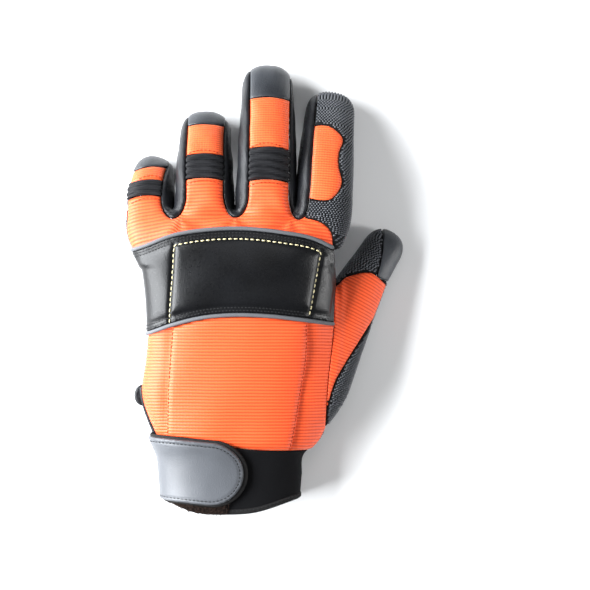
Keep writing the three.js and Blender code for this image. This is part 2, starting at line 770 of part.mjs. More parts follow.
// Small leather tab folded into the side seam below the little finger
const tabY = sideTabHeight;
const tabX = -palmWidth * (0.5 - sideTabInset);
const tabShape = new THREE.Shape();
tabShape.absellipse(0, 0, sideTabReach, sideTabLength / 2, 0, 2 * Math.PI);
const tab = new THREE.ExtrudeGeometry(tabShape, {
  depth: sideTabThickness, bevelEnabled: false, curveSegments: 8,
});
tab.translate(tabX, tabY, middleHeight(tabX, tabY) - sideTabThickness / 2);
addPiece('side_tab', 'leather', solid(tab).subtract(handForm(seamGap)));

// Strap over the cuff, its backing and the loop pile that it closes on
const pileFoot = hemThickness + seamGap;
const strapRoom = half(1, -strapWrap * knuckleHeight);
const backingFoot = pileFoot + loopPileThickness + seamGap;
const strapFoot = backingFoot + strapBackingThickness + seamGap;
addPiece('loop_pile', 'pile', layer(pileFoot + loopPileThickness, pileFoot)
  .intersect(prism(loopPileEdge)).intersect(topOnly));
addPiece('strap_backing', 'band', layer(backingFoot + strapBackingThickness, backingFoot)
  .intersect(prism(strapEdge(0))).intersect(strapRoom));
addPiece('wrist_strap', 'strap', layer(strapFoot + strapThickness, strapFoot)
  .intersect(prism(strapEdge(-strapRim))).intersect(strapRoom));

// The origin is on the surface, under the middle of the glove's box.
const extent = new THREE.Box3().setFromObject(glove);
const middle = extent.getCenter(new THREE.Vector3());
glove.position.set(-middle.x, -middle.y, -extent.min.z);

export default glove;
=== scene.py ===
# %% [markdown]
# A chainsaw glove for the left hand, lying palm down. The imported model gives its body, its
# pieces and its size. The looks are made here: one smooth hand form is worked out as a field
# of distances, its surface is turned into an even net of four-sided faces, and the net is cut
# along the seams into the sewn panels. A sculpted mesh could also be cut by hand, but worked
# out this way each panel meets its neighbour exactly, and a change of size moves all of them.

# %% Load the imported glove
import math
import bpy
import numpy as np
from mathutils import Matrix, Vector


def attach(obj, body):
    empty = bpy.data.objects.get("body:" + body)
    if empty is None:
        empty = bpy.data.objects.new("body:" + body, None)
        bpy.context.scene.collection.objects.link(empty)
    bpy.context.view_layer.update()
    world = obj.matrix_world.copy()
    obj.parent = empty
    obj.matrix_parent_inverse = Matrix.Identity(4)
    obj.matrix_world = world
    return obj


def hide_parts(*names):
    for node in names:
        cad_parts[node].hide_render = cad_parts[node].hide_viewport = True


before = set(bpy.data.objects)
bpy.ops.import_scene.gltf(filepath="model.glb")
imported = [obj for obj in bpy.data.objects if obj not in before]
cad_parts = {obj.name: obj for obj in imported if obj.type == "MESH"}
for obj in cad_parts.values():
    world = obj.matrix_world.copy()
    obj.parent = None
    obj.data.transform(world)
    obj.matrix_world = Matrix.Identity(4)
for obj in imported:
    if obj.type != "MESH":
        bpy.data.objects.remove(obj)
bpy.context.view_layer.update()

# %% [markdown]
# The driving sizes are those of the real glove, in millimetres. Tables give sections as shares
# of these sizes, so the form can be read and changed line by line. The glove was drawn with its
# cuff mouth at y = 0 and its middle at x = 0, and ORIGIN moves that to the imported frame.

# %% Sizes of the glove, in millimetres
MM = 0.001
PALM_LENGTH = 166
PALM_WIDTH = 108
PALM_DEPTH = 40
KNUCKLE_HEIGHT = 34
FINGER_WIDTH = 29
FINGER_DEPTH = 25
FINGERTIP = 13
THUMB_WIDTH = 34
THUMB_DEPTH = 27
THUMB_LENGTH = 110
ROUNDNESS = 2.4
TIP_ROUNDNESS = 2.3
FINGER_ROOT = 0.85
FINGER_PULL = 0.38
ORIGIN = np.array([16.323, 125.366, 0.0])
SEAM_ARCH = 3.4
HEM_HEIGHT = 3.2
STRAP_WIDTH = 38
STRAP_REACH = 49
STRAP_RIM = 1
STRAP_LIP = 2.4
STRAP_TILT = math.radians(-5.5)

# %% [markdown]
# The palm is a tube of rounded sections along y. Each row gives its place along the palm, its
# middle and width as shares of the palm's width, its height and its depth.

# %% Sections of palm and cuff: along, centre, wide, rise, deep
PALM_SECTIONS = np.array([
    (-0.09, -0.008, 0.68, 0.5, 0.93),
    (0.0, -0.008, 0.68, 0.5, 0.93),
    (0.12, -0.008, 0.7, 0.5, 0.93),
    (0.205, -0.005, 0.74, 0.53, 0.98),
    (0.24, 0.012, 0.82, 0.55, 1.03),
    (0.31, 0.0, 0.885, 0.59, 1.06),
    (0.4, -0.01, 0.943, 0.65, 1.06),
    (0.51, 0.012, 0.95, 0.73, 1.03),
    (0.61, 0.028, 0.945, 0.81, 0.99),
    (0.75, 0.026, 0.955, 0.91, 0.95),
    (0.88, 0.016, 0.985, 0.98, 0.87),
    (0.94, 0.0, 1.0, 1.0, 0.77),
    (0.98, 0.0, 0.98, 1.0, 0.58),
    (1.005, 0.0, 0.9, 0.99, 0.34),
])

# Fingers: root, bow and tip sideways (shares of the palm's width), reach in millimetres, width
# and depth as shares, dive in degrees, height of the tip, seams across, rolls of leather, and
# the place along the palm where the leather to the finger's right turns round.
FINGER_COLUMNS = ("root", "bow", "tip", "reach", "wide", "deep", "dive", "lift",
                  "band_foot", "band_top", "cap_foot", "left_roll", "right_roll", "crotch")
FINGERS = {
    "little": (-0.4, -0.45, -0.41, 54, 0.87, 0.86, 62, 0.035, 0.665, 0.835, 0.975, 0, 0.24, 0.986),
    "ring": (-0.145, -0.16, -0.158, 80, 1.02, 0.96, 52, 0.06, 0.565, 0.738, 0.955, 0.17, 0.13, 0.99),
    "middle": (0.155, 0.165, 0.165, 107.5, 1.04, 0.98, 38, 0.115, 0.41, 0.58, 0.845, 0.18, 0.08, 0.983),
    "index": (0.42, 0.47, 0.5, 92, 1.01, 0.94, 42, 0.09, 0.37, 0.6, 0.82, 0.22, 0, 1),
}
FINGERS = {name: dict(zip(FINGER_COLUMNS, row)) for name, row in FINGERS.items()}

# Thickness of a finger along its path, and of the thumb along its own: share of path, size
FINGER_BODY = np.array([(0, 0.65), (0.22, 1.06), (0.4, 1.04), (0.58, 1), (0.72, 0.95), (1, 0.9)])
THUMB_BODY = np.array([(0, 0.6), (0.16, 0.95), (0.34, 1), (0.52, 0.93), (0.7, 0.8), (0.83, 0.68),
                       (1, 0.64)])
# Route of the thumb: sideways and forward shares of its length, height
THUMB_ROUTE = np.array([(0, 0, 0.6), (0.115, 0.2, 0.58), (0.205, 0.44, 0.54), (0.35, 0.74, 0.42),
                        (0.51, 1, 0.2)])
THUMB_ROOT = (0.3, 0.28)


# %% [markdown]
# Curves. A table of a few rows becomes a smooth line by cubic pieces whose slopes come from the
# neighbouring rows. A finger follows one cubic curve from its root, level with the hand, to its
# tip, which dives to the table. Both are worked out for whole arrays at once.

# %% Smooth lines and paths
def through(x, y, at):
    """Cubic pieces through the rows (x, y): each row's slope is that of its neighbours."""
    slope = np.gradient(y, x)
    piece = np.clip(np.searchsorted(x, at) - 1, 0, len(x) - 2)
    span = x[piece + 1] - x[piece]
    t = np.clip((at - x[piece]) / span, 0, 1)
    rise = t * t * (3 - 2 * t)
    bend = span * (slope[piece] * t * (1 - t) ** 2 - slope[piece + 1] * t * t * (1 - t))
    return y[piece] * (1 - rise) + y[piece + 1] * rise + bend


def smooth_line(points, step=1.5):
    """A line through the points, its length along the chords as the parameter."""
    points = np.asarray(points, float)
    run = np.r_[0, np.cumsum(np.linalg.norm(np.diff(points, axis=0), axis=1))]
    at = np.linspace(0, run[-1], max(2, int(run[-1] / step) + 1))
    return np.stack([through(run, column, at) for column in points.T], axis=1)


def even_path(points, count=90):
    """The same line as evenly spaced stations, with its direction, side and up at each."""
    run = np.r_[0, np.cumsum(np.linalg.norm(np.diff(points, axis=0), axis=1))]
    at = np.linspace(0, run[-1], count)
    place = np.stack([np.interp(at, run, column) for column in points.T], axis=1)
    forward = np.gradient(place, at, axis=0)
    forward /= np.linalg.norm(forward, axis=1, keepdims=True)
    side = np.stack([-forward[:, 1], forward[:, 0], 0 * at], axis=1)
    side /= np.linalg.norm(side, axis=1, keepdims=True)
    return {"place": place, "forward": forward, "side": side, "up": np.cross(forward, side),
            "at": at, "length": run[-1]}


def finger_path(finger):
    """Cubic curve with four control points: root, after the root, before the tip, tip."""
    root_y = FINGER_ROOT * PALM_LENGTH
    pull = FINGER_PULL * finger["reach"]
    dive = math.radians(finger["dive"])
    tip = np.array([finger["tip"] * PALM_WIDTH, root_y + finger["reach"],
                    finger["lift"] * KNUCKLE_HEIGHT])
    bow = finger["bow"] * PALM_WIDTH
    control = np.array([
        (finger["root"] * PALM_WIDTH, root_y, KNUCKLE_HEIGHT),
        (bow, root_y + pull, KNUCKLE_HEIGHT),
        (bow, tip[1] - pull * math.cos(dive), tip[2] + pull * math.sin(dive)),
        tip,
    ])
    t = np.linspace(0, 1, 400)[:, None]
    weights = np.hstack([(1 - t) ** 3, 3 * t * (1 - t) ** 2, 3 * t * t * (1 - t), t ** 3])
    return even_path(weights @ control)


thumb_stops = THUMB_ROUTE * (THUMB_LENGTH, THUMB_LENGTH, KNUCKLE_HEIGHT)
thumb_stops[:, 0] += THUMB_ROOT[0] * PALM_WIDTH
thumb_stops[:, 1] += THUMB_ROOT[1] * PALM_LENGTH
DIGITS = {name: dict(path=finger_path(finger), body=FINGER_BODY,
                     wide=finger["wide"] * FINGER_WIDTH, deep=finger["deep"] * FINGER_DEPTH)
          for name, finger in FINGERS.items()}
DIGITS["thumb"] = dict(path=even_path(smooth_line(thumb_stops, 0.5)), body=THUMB_BODY,
                       wide=THUMB_WIDTH, deep=THUMB_DEPTH)
print({name: round(digit["path"]["length"], 1) for name, digit in DIGITS.items()})


# %% [markdown]
# The hand form as a field. At each point of space it says about how far the point lies outside
# the glove. A section is a rounded rectangle: the point's place in it, measured in half widths
# and half depths with a power of 2.4, is 1 on the surface. Fields join with a soft minimum, so
# the fingers grow out of the palm without a crease. Metaballs do the same with less control.

# %% Field of the hand form
def soft_minimum(a, b, blend):
    """The smaller of two fields, rounded off where they differ by less than blend."""
    near = np.maximum(blend - np.abs(a - b), 0) / blend
    return np.minimum(a, b) - near * near * blend / 4


def palm_field(x, y, z):
    """Distance along the ray from the section's centre to the rounded rectangle."""
    along = y / PALM_LENGTH
    centre, wide, rise, deep = (through(PALM_SECTIONS[:, 0], column, along)
                                for column in PALM_SECTIONS[:, 1:].T)
    dx = np.abs(x - centre * PALM_WIDTH)
    dz = np.abs(z - rise * KNUCKLE_HEIGHT)
    size = (dx / (wide * PALM_WIDTH / 2)) ** ROUNDNESS + (dz / (deep * PALM_DEPTH / 2)) ** ROUNDNESS
    size = np.maximum(size, 1e-6) ** (1 / ROUNDNESS)
    return np.maximum(np.hypot(dx, dz) * (1 - 1 / size), y - 1.005 * PALM_LENGTH)


def on_path(digit, points):
    """Where points lie beside a path: station along it, and sideways, upwards and past the end."""
    path = digit["path"]
    place = path["place"]
    near = ((place ** 2).sum(1)[None] - 2 * points @ place.T).argmin(1)
    ahead = ((points - place[near]) * path["forward"][near]).sum(1)
    station = path["at"][near] + ahead
    at = np.clip(station, 0, path["length"])
    centre, side, up = (np.stack([np.interp(at, path["at"], column) for column in path[key].T], 1)
                        for key in ("place", "side", "up"))
    offset = points - centre
    return station, (offset * side).sum(1), (offset * up).sum(1)


def digit_field(digit, points):
    """As for the palm, with a rounded end: the last 13 mm count as a third half size."""
    station, across, high = on_path(digit, points)
    length = digit["path"]["length"]
    size = through(digit["body"][:, 0], digit["body"][:, 1], np.clip(station / length, 0, 1))
    past = np.maximum(station - (length - FINGERTIP), 0)
    flat = ((np.abs(across) / (size * digit["wide"] / 2)) ** ROUNDNESS
            + (np.abs(high) / (size * digit["deep"] / 2)) ** ROUNDNESS)
    whole = flat ** (TIP_ROUNDNESS / ROUNDNESS) + (past / FINGERTIP) ** TIP_ROUNDNESS
    whole = np.maximum(whole, 1e-6) ** (1 / TIP_ROUNDNESS)
    away = np.sqrt(across ** 2 + high ** 2 + past ** 2) * (1 - 1 / whole)
    return np.maximum(away, -station)


# %% [markdown]
# The field is worked out once on an even lattice of points, 1.4 mm apart. From then on any
# place is read between eight lattice points, so sliding points onto the surface costs little.
# The blends say over how many millimetres two forms melt together: hardly between two fingers,
# more where fingers and thumb leave the palm, and a little where the glove lies on the table.

# %% Lattice of the field
STEP = 1.4
DIGIT_REACH = 26
FINGER_BLEND = 1.2
ROOT_BLEND = 5
THUMB_BLEND = 9
TABLE_BLEND = 2.5
low_corner = np.array([-68.0, -12.0, -4.0])
high_corner = np.array([102.0, 258.0, 60.0])
counts = np.round((high_corner - low_corner) / STEP).astype(int) + 1
axes = [low_corner[k] + STEP * np.arange(counts[k]) for k in range(3)]
field = palm_field(axes[0][:, None, None], axes[1][None, :, None], axes[2][None, None, :])
digits_field = np.full(tuple(counts), 99.0)
for name, digit in DIGITS.items():
    place = digit["path"]["place"]
    low = np.clip(((place.min(0) - DIGIT_REACH - low_corner) / STEP).astype(int), 0, counts)
    high = np.clip(((place.max(0) + DIGIT_REACH - low_corner) / STEP).astype(int), 0, counts)
    room = tuple(slice(low[k], high[k]) for k in range(3))
    spots = np.stack(np.meshgrid(*[axes[k][room[k]] for k in range(3)], indexing="ij"), -1)
    values = np.concatenate([digit_field(digit, part) for part in
                             np.array_split(spots.reshape(-1, 3), 12)])
    values = values.reshape(spots.shape[:3])
    if name == "thumb":
        field[room] = soft_minimum(field[room], values, THUMB_BLEND)
    else:
        digits_field[room] = soft_minimum(digits_field[room], values, FINGER_BLEND)
field = soft_minimum(field, digits_field, ROOT_BLEND)
field = -soft_minimum(-field, axes[2][None, None, :] + 0 * field, TABLE_BLEND)
print("lattice", field.shape)


# %% [markdown]
# Three tools work on the lattice. The first reads the field at any place. The second gives the
# direction in which it grows fastest, which is the way out of the hand. The third slides points
# along that direction until the field is zero. Shrinkwrap does the same on a finished mesh, but
# here no mesh is needed yet.

# %% Reading the field
def read(points, values=None):
    """Value between the eight lattice points around each point, by shares along x, y and z."""
    values = field if values is None else values
    spot = np.clip((points - low_corner) / STEP, 0, counts - 1.001)
    cell = spot.astype(int)
    tx, ty, tz = (spot - cell).T
    i, j, k = cell.T
    lower = ((values[i, j, k] * (1 - tx) + values[i + 1, j, k] * tx) * (1 - ty)
             + (values[i, j + 1, k] * (1 - tx) + values[i + 1, j + 1, k] * tx) * ty)
    upper = ((values[i, j, k + 1] * (1 - tx) + values[i + 1, j, k + 1] * tx) * (1 - ty)
             + (values[i, j + 1, k + 1] * (1 - tx) + values[i + 1, j + 1, k + 1] * tx) * ty)
    return lower * (1 - tz) + upper * tz


slopes = np.gradient(field, STEP)


def outward(points):
    """Direction in which the field grows fastest: the surface's normal."""
    slope = np.stack([read(points, part) for part in slopes], axis=1)
    return slope / np.maximum(np.linalg.norm(slope, axis=1, keepdims=True), 1e-9)


def settle(points, rounds=3):
    """Slides points onto the surface along the normal, by what the field says is missing."""
    for _ in range(rounds):
        slope = np.stack([read(points, part) for part in slopes], axis=1)
        steep = np.maximum((slope ** 2).sum(1, keepdims=True), 0.05)
        points = points - read(points)[:, None] * slope / steep
    return points


# %% [markdown]
# The net. Each lattice cell that the surface passes gets one point, in the middle of the places
# where the surface crosses the cell's edges. Each lattice edge that crosses the surface gets one
# face between its four cells. This gives even, four-sided faces all over the hand, which cut and
# divide better than triangles do.

# %% Net of the hand's surface
def surface_net(values):
    """Points and four-sided faces where the values change sign, faces pointing outwards."""
    inside = values < 0
    corners = [(a, b, c) for a in (0, 1) for b in (0, 1) for c in (0, 1)]
    shape = tuple(size - 1 for size in values.shape)
    part = lambda grid, at: grid[tuple(slice(at[k], at[k] + shape[k]) for k in range(3))]
    full = sum(part(inside, at).astype(int) for at in corners)
    cell = np.argwhere((full > 0) & (full < 8))
    at_corner = {at: values[tuple((cell + at).T)] for at in corners}
    total = np.zeros((len(cell), 3))
    crossings = np.zeros(len(cell))
    for first in corners:
        for axis in range(3):
            second = tuple(first[k] + (k == axis) for k in range(3))
            if second not in at_corner:
                continue
            a, b = at_corner[first], at_corner[second]
            crosses = (a < 0) != (b < 0)
            share = np.where(crosses, a / np.where(crosses, a - b, 1), 0)
            spot = np.tile(np.array(first, float), (len(cell), 1))
            spot[:, axis] += share
            total += spot * crosses[:, None]
            crossings += crosses
    points = low_corner + STEP * (cell + total / crossings[:, None])
    number = np.full(shape, -1)
    number[tuple(cell.T)] = np.arange(len(cell))
    faces = []
    for axis in range(3):
        one, two = (axis + 1) % 3, (axis + 2) % 3
        ahead = np.roll(inside, -1, axis)
        edge = np.argwhere(inside != ahead)
        edge = edge[(edge[:, axis] < shape[axis]) & (edge[:, one] > 0) & (edge[:, two] > 0)
                    & (edge[:, one] < shape[one]) & (edge[:, two] < shape[two])]
        around = []
        for back_one, back_two in ((1, 1), (0, 1), (0, 0), (1, 0)):
            near = edge.copy()
            near[:, one] -= back_one
            near[:, two] -= back_two
            around.append(number[tuple(near.T)])
        face = np.stack(around, axis=1)
        turn = ~inside[tuple(edge.T)]
        face[turn] = face[turn][:, ::-1]
        faces.append(face)
    return points, np.vstack(faces)


net_points, net_faces = surface_net(field)
net_points = settle(net_points)
print("net", len(net_points), "points", len(net_faces), "faces")


# %% [markdown]
# The seams, seen from above. They are the lines along which the real glove is sewn. Each table
# holds the few places a seam passes, as shares of the palm's width and length, and a smooth line
# is drawn through them.

# %% Seams: across and along, as shares of the palm
def seam(*rows):
    return smooth_line(np.array(rows) * (PALM_WIDTH, PALM_LENGTH))


wrist_seam = seam((-0.75, 0.254), (-0.395, 0.253), (-0.185, 0.241), (0.03, 0.22), (0.45, 0.207))
thumb_seam = seam((0.47, 0.28), (0.475, 0.4), (0.51, 0.63), (0.515, 0.78), (0.506, 0.88))
index_base_seam = seam((0.498, 0.93), (0.483, 0.948), (0.44, 0.971), (0.37, 0.985))
knuckle_top = seam((-0.75, 0.868), (-0.485, 0.884), (-0.31, 0.922), (-0.1, 0.941), (0.05, 0.943),
                   (0.24, 0.931), (0.42, 0.908), (0.505, 0.882))
knuckle_foot = seam((-0.75, 0.597), (-0.45, 0.607), (-0.32, 0.637), (-0.15, 0.664), (0, 0.672),
                    (0.16, 0.669), (0.33, 0.657), (0.503, 0.64))
pad_left = seam((-0.318, 0.627), (-0.335, 0.5), (-0.345, 0.4), (-0.35, 0.257))
pad_foot = seam((-0.35, 0.257), (-0.185, 0.243), (0.03, 0.2215), (0.288, 0.2125))
pad_right = seam((0.288, 0.2125), (0.316, 0.3), (0.34, 0.4), (0.37, 0.52), (0.374, 0.645))
pad_top = seam((0.374, 0.645), (0.16, 0.659), (0, 0.662), (-0.15, 0.654), (-0.318, 0.627))
thumb_cross_seam = seam((0.515, 0.78), (0.6, 0.8), (0.7, 0.808), (0.788, 0.765))
thumb_edge = seam((0.788, 0.743), (0.736, 0.672), (0.662, 0.595), (0.594, 0.528), (0.554, 0.487),
                  (0.519, 0.446), (0.497, 0.405), (0.474, 0.345))
thumb_cap_seam = seam((0.735, 0.793), (0.76, 0.86), (0.76, 1.05))
mouth_line = seam((-0.75, 0.045), (-0.33, 0.035), (-0.22, 0.008), (-0.05, 0), (0.08, 0.004),
                  (0.35, 0.052), (0.75, 0.06))
knuckle_outline = np.vstack([knuckle_foot, knuckle_top[::-1]])
pad_outline = np.vstack([pad_left, pad_foot[1:], pad_right[1:], pad_top[1:-1]])
WEB = 0.63 * PALM_WIDTH
FAR_LEFT = -84
FAR_RIGHT = 142
FAR_TOP = 303


# %% [markdown]
# The seams of a finger follow that finger. A cut across its back is a shallow arch, because
# the cloth is sewn flat and then bent over a round finger. The leather between two fingers is
# a U that comes down one finger, turns round the crotch and goes up the next. Both are drawn
# from the finger's own path and width, so they move along when a finger is changed.

# %% Lines across and beside the fingers
def finger_middle(name, y):
    """Sideways place of a finger's path at a height up the page."""
    place = DIGITS[name]["path"]["place"]
    return np.interp(y, place[:, 1], place[:, 0])


def along_finger(name, share):
    return FINGER_ROOT * PALM_LENGTH + share * FINGERS[name]["reach"]


def cross_seam(name, share, reach=0.56):
    """A seam across the back of a finger: a parabola, highest in the middle."""
    y = along_finger(name, share)
    stop = np.linspace(-1, 1, 17)
    half = FINGERS[name]["wide"] * FINGER_WIDTH * reach
    return np.stack([finger_middle(name, y) + stop * half, y - SEAM_ARCH * stop ** 2], axis=1)


def between(name, low, high):
    return np.vstack([cross_seam(name, low), cross_seam(name, high)[::-1]])


def tip_outline(name, share):
    foot = cross_seam(name, share)
    past = along_finger(name, 1) + FINGERTIP
    return np.vstack([foot, (foot[-1, 0], past), (foot[0, 0], past)])


def side_line(name, side, y):
    """Edge of the leather roll beside the back of a finger; side is -1 left, 1 right."""
    roll = FINGERS[name]["right_roll" if side > 0 else "left_roll"]
    wide = FINGERS[name]["wide"] * FINGER_WIDTH
    return np.stack([finger_middle(name, y) + side * (0.5 - roll) * wide, y], axis=1)


def side_leather(left_name, right_name):
    """A U round the crotch: up the left finger, a half round below, up the right finger."""
    foot = FINGERS[left_name]["crotch"] * PALM_LENGTH + FINGERTIP
    climb = [np.linspace(foot, along_finger(name, 1) + FINGERTIP, 40)
             for name in (left_name, right_name)]
    left = side_line(left_name, 1, climb[0])
    right = side_line(right_name, -1, climb[1])
    radius = (right[0, 0] - left[0, 0]) / 2
    turn = np.linspace(math.pi, 2 * math.pi, 17)[1:-1]
    bend = np.stack([left[0, 0] + radius + radius * np.cos(turn),
                     foot + FINGERTIP * np.sin(turn)], axis=1)
    return np.vstack([left[::-1], bend, right])


NAMES = list(FINGERS)
# The fingers with an elastic band: all but the index finger
BANDED = NAMES[:3]
SIDES = {"little_ring_side": side_leather("little", "ring"),
         "ring_middle_side": side_leather("ring", "middle"),
         "middle_index_side": side_leather("middle", "index")}


def gap_middle(left_name, right_name):
    return (FINGERS[left_name]["root"] + FINGERS[right_name]["root"]) / 2 * PALM_WIDTH


GAPS = [gap_middle(left, right) for left, right in zip(NAMES, NAMES[1:])]
IN_CROTCH = [(gap, FINGERS[name]["crotch"] * PALM_LENGTH + FINGERTIP / 2)
             for gap, name in zip(GAPS, NAMES)]


# %% [markdown]
# Outlines of the panels. A panel is all of the surface that lies inside its outline, seen from
# above, and on its own side of the parting surface, which runs round the hand at half height.

# %% Outlines of the panels
back_outline = np.vstack([
    wrist_seam, thumb_seam, index_base_seam, IN_CROTCH[2],
    cross_seam("middle", FINGERS["middle"]["band_foot"])[::-1], IN_CROTCH[1],
    cross_seam("ring", FINGERS["ring"]["band_foot"])[::-1], IN_CROTCH[0],
    cross_seam("little", FINGERS["little"]["band_foot"])[::-1],
    (FAR_LEFT, along_finger("little", FINGERS["little"]["band_foot"])),
])
index_wrap = np.vstack([
    IN_CROTCH[2], index_base_seam[::-1], thumb_seam[-1], (WEB, PALM_LENGTH * 0.9),
    (WEB, FAR_TOP), (GAPS[2], FAR_TOP),
])
PALM_TOP = 1.02 * PALM_LENGTH
palm_outline = np.vstack([
    wrist_seam, thumb_seam, (WEB, PALM_LENGTH * 0.9), (WEB, FAR_TOP), (GAPS[2], FAR_TOP),
    (GAPS[2], PALM_TOP), (FAR_LEFT, PALM_TOP),
])
index_patch_outline = smooth_line(np.array([
    (0.33, 0.375), (0.5, 0.365), (0.548, 0.45), (0.533, 0.56), (0.535, 0.64), (0.556, 0.73),
    (0.5, 0.8), (0.33, 0.81),
]) * (PALM_WIDTH, FINGERS["index"]["reach"]) + (0, FINGER_ROOT * PALM_LENGTH))
thumb_region = np.vstack([
    thumb_seam, (WEB, PALM_LENGTH * 0.9), (WEB, PALM_LENGTH * 1.06),
    (FAR_RIGHT, PALM_LENGTH * 1.06), (FAR_RIGHT, wrist_seam[-1, 1]), wrist_seam[-1],
])
on_fold = (thumb_seam[:, 1] > 0.345 * PALM_LENGTH) & (thumb_seam[:, 1] < 0.78 * PALM_LENGTH)
thumb_outline = np.vstack([thumb_seam[on_fold], thumb_cross_seam, thumb_edge])
thumb_cap_outline = np.vstack([thumb_cap_seam, (1.15 * PALM_WIDTH, 1.05 * PALM_LENGTH),
                               (1.15 * PALM_WIDTH, 0.68 * PALM_LENGTH)])
cuff_outline = np.vstack([wrist_seam, (FAR_RIGHT, wrist_seam[-1, 1]), (FAR_RIGHT, -60),
                          (FAR_LEFT, -60)])
cuff_top = np.vstack([mouth_line + (0, HEM_HEIGHT * 0.6), (81, 500), (-81, 500)])


def strap_outline(rim, lip):
    """Smaller by rim at the sides and by lip at the half round end, tilted, open at the left."""
    radius = STRAP_WIDTH / 2 - rim
    middle = 0.257 * PALM_LENGTH - STRAP_WIDTH / 2
    start = -0.385 * PALM_WIDTH
    end = start + STRAP_REACH - lip
    turn = np.linspace(-math.pi / 2, math.pi / 2, 41)
    bow = np.stack([end - radius + radius * np.cos(turn), middle + radius * np.sin(turn)], 1)
    outline = np.vstack([(FAR_LEFT, middle - radius), bow, (FAR_LEFT, middle + radius)])
    pivot = np.array([start + STRAP_REACH / 2, middle])
    cos, sin = math.cos(STRAP_TILT), math.sin(STRAP_TILT)
    return pivot + (outline - pivot) @ np.array([(cos, sin), (-sin, cos)])


def finger_palm_outline(name):
    k = NAMES.index(name)
    left = FAR_LEFT if k == 0 else GAPS[k - 1]
    top = along_finger(name, 1) + FINGERTIP
    return np.array([(left, PALM_TOP), (GAPS[k], PALM_TOP), (GAPS[k], top), (left, top)])


def grip_pad_outline(name):
    """A pad with a rounded top on the underside of a fingertip."""
    half = FINGERS[name]["wide"] * FINGER_WIDTH * 0.27
    low = along_finger(name, 1) - FINGERTIP * 1.5
    high = along_finger(name, 1) - FINGERTIP * 0.25
    turn = np.linspace(0, math.pi, 21)
    rise = low + (high - low) * (0.55 + 0.45 * np.sin(turn))
    arch = np.stack([half * np.cos(turn), rise], axis=1)
    outline = np.vstack([(-half, low), (half, low), arch])
    outline[:, 0] += finger_middle(name, outline[:, 1])
    return outline


# %% [markdown]
# Distances to the seams. Seen from above, a point's distance to an outline is the shortest one
# to any of its sides, and it counts as positive inside. A panel's own distance is the smallest
# of its outline's and of its height over the parting surface, so it is zero all round its border.

# %% Distances to outlines and to the parting surface
def within(outline, points, margin=8.0):
    """Plan distance to the nearest side of the outline, positive inside it, in rows of points."""
    found = np.full(len(points), -margin)
    low, high = outline.min(0) - margin, outline.max(0) + margin
    close = np.flatnonzero(((points[:, :2] > low) & (points[:, :2] < high)).all(1))
    start, end = outline, np.roll(outline, -1, axis=0)
    along = end - start
    square = np.maximum((along ** 2).sum(1), 1e-12)
    for rows in np.array_split(close, max(1, len(close) // 3000)):
        x, y = points[rows, 0:1], points[rows, 1:2]
        dx, dy = x - start[:, 0], y - start[:, 1]
        t = np.clip((dx * along[:, 0] + dy * along[:, 1]) / square, 0, 1)
        gap = np.sqrt(((dx - t * along[:, 0]) ** 2 + (dy - t * along[:, 1]) ** 2).min(1))
        crosses = (start[:, 1] <= y) != (end[:, 1] <= y)
        rise = np.where(along[:, 1] == 0, 1, along[:, 1])
        left = x < start[:, 0] + (y - start[:, 1]) / rise * along[:, 0]
        odd = (crosses & left).sum(1) % 2 == 1
        found[rows] = np.where(odd, gap, -gap)
    return found


def parting_height(points):
    """Mean of the palm's middle height and the digits', each weighted by how near it is."""
    x, y = points[:, 0], points[:, 1]
    along = np.clip(y / PALM_LENGTH, -0.09, 1)
    centre, wide, rise = (through(PALM_SECTIONS[:, 0], PALM_SECTIONS[:, k], along)
                          for k in (1, 2, 3))
    beside = np.maximum(0, np.abs(x - centre * PALM_WIDTH) - wide * PALM_WIDTH / 2)
    nearness = lambda gap: np.exp(-(gap / 7) ** 2) + 1e-9 / (1 + gap)
    total = nearness(np.hypot(beside, np.maximum(0, y - PALM_LENGTH)))
    mean = total * rise * KNUCKLE_HEIGHT
    for digit in DIGITS.values():
        place = digit["path"]["place"]
        flat = (place[:, :2] ** 2).sum(1)[None] - 2 * points[:, :2] @ place[:, :2].T
        near = flat.argmin(1)
        gap = np.hypot(place[near, 0] - x, place[near, 1] - y)
        total += nearness(gap)
        mean += nearness(gap) * place[near, 2]
    return mean / total


def above(points):
    return points[:, 2] - parting_height(points)


# %% [markdown]
# A region puts such distances together for one panel: its outlines, the upper or the lower half,
# and the neighbours that have to stay free. It is a function of places, so the cut can ask it
# about any point, and the beads later ask it again where their fabric ends.

# %% Regions of the panels
def no_side_leather(points):
    return -np.max([within(outline, points) for outline in SIDES.values()], axis=0)


def region(*outlines, top=None, leather=True, without=()):
    """A panel's distance: the smallest of its outlines', its half's and its neighbours' negated."""
    def distance(points):
        parts = [within(outline, points) for outline in outlines]
        parts += [-within(outline, points) for outline in without]
        if leather:
            parts.append(no_side_leather(points))
        if top is not None:
            parts.append(above(points) if top else -above(points))
        return np.min(parts, axis=0)
    return distance


PAST_PARTING = 0.2


def over_side(outline):
    """Inside the outline, and down the side a little past the parting surface."""
    inside = region(outline, leather=False)
    return lambda points: np.minimum(inside(points), above(points) + PAST_PARTING * KNUCKLE_HEIGHT)


# %% [markdown]
# Cutting a panel. The faces whose middle lies inside are kept, and of loose parts only the
# largest. The points round the border then slide along the surface until their distance is
# zero, so a jagged edge becomes the drawn seam. Each face is divided in four, once or more, and
# everything settles on the surface again. A Boolean would leave slivers along the seam.

# %% Cutting and refining
def largest_part(faces, count):
    """Every point takes the smallest number among its neighbours until nothing changes."""
    label = np.arange(count)
    while True:
        before = label.copy()
        np.minimum.at(label, faces, label[faces].min(1)[:, None])
        label = label[label]
        if (label == before).all():
            break
    of_face = label[faces[:, 0]]
    names, size = np.unique(of_face, return_counts=True)
    return faces[of_face == names[size.argmax()]]


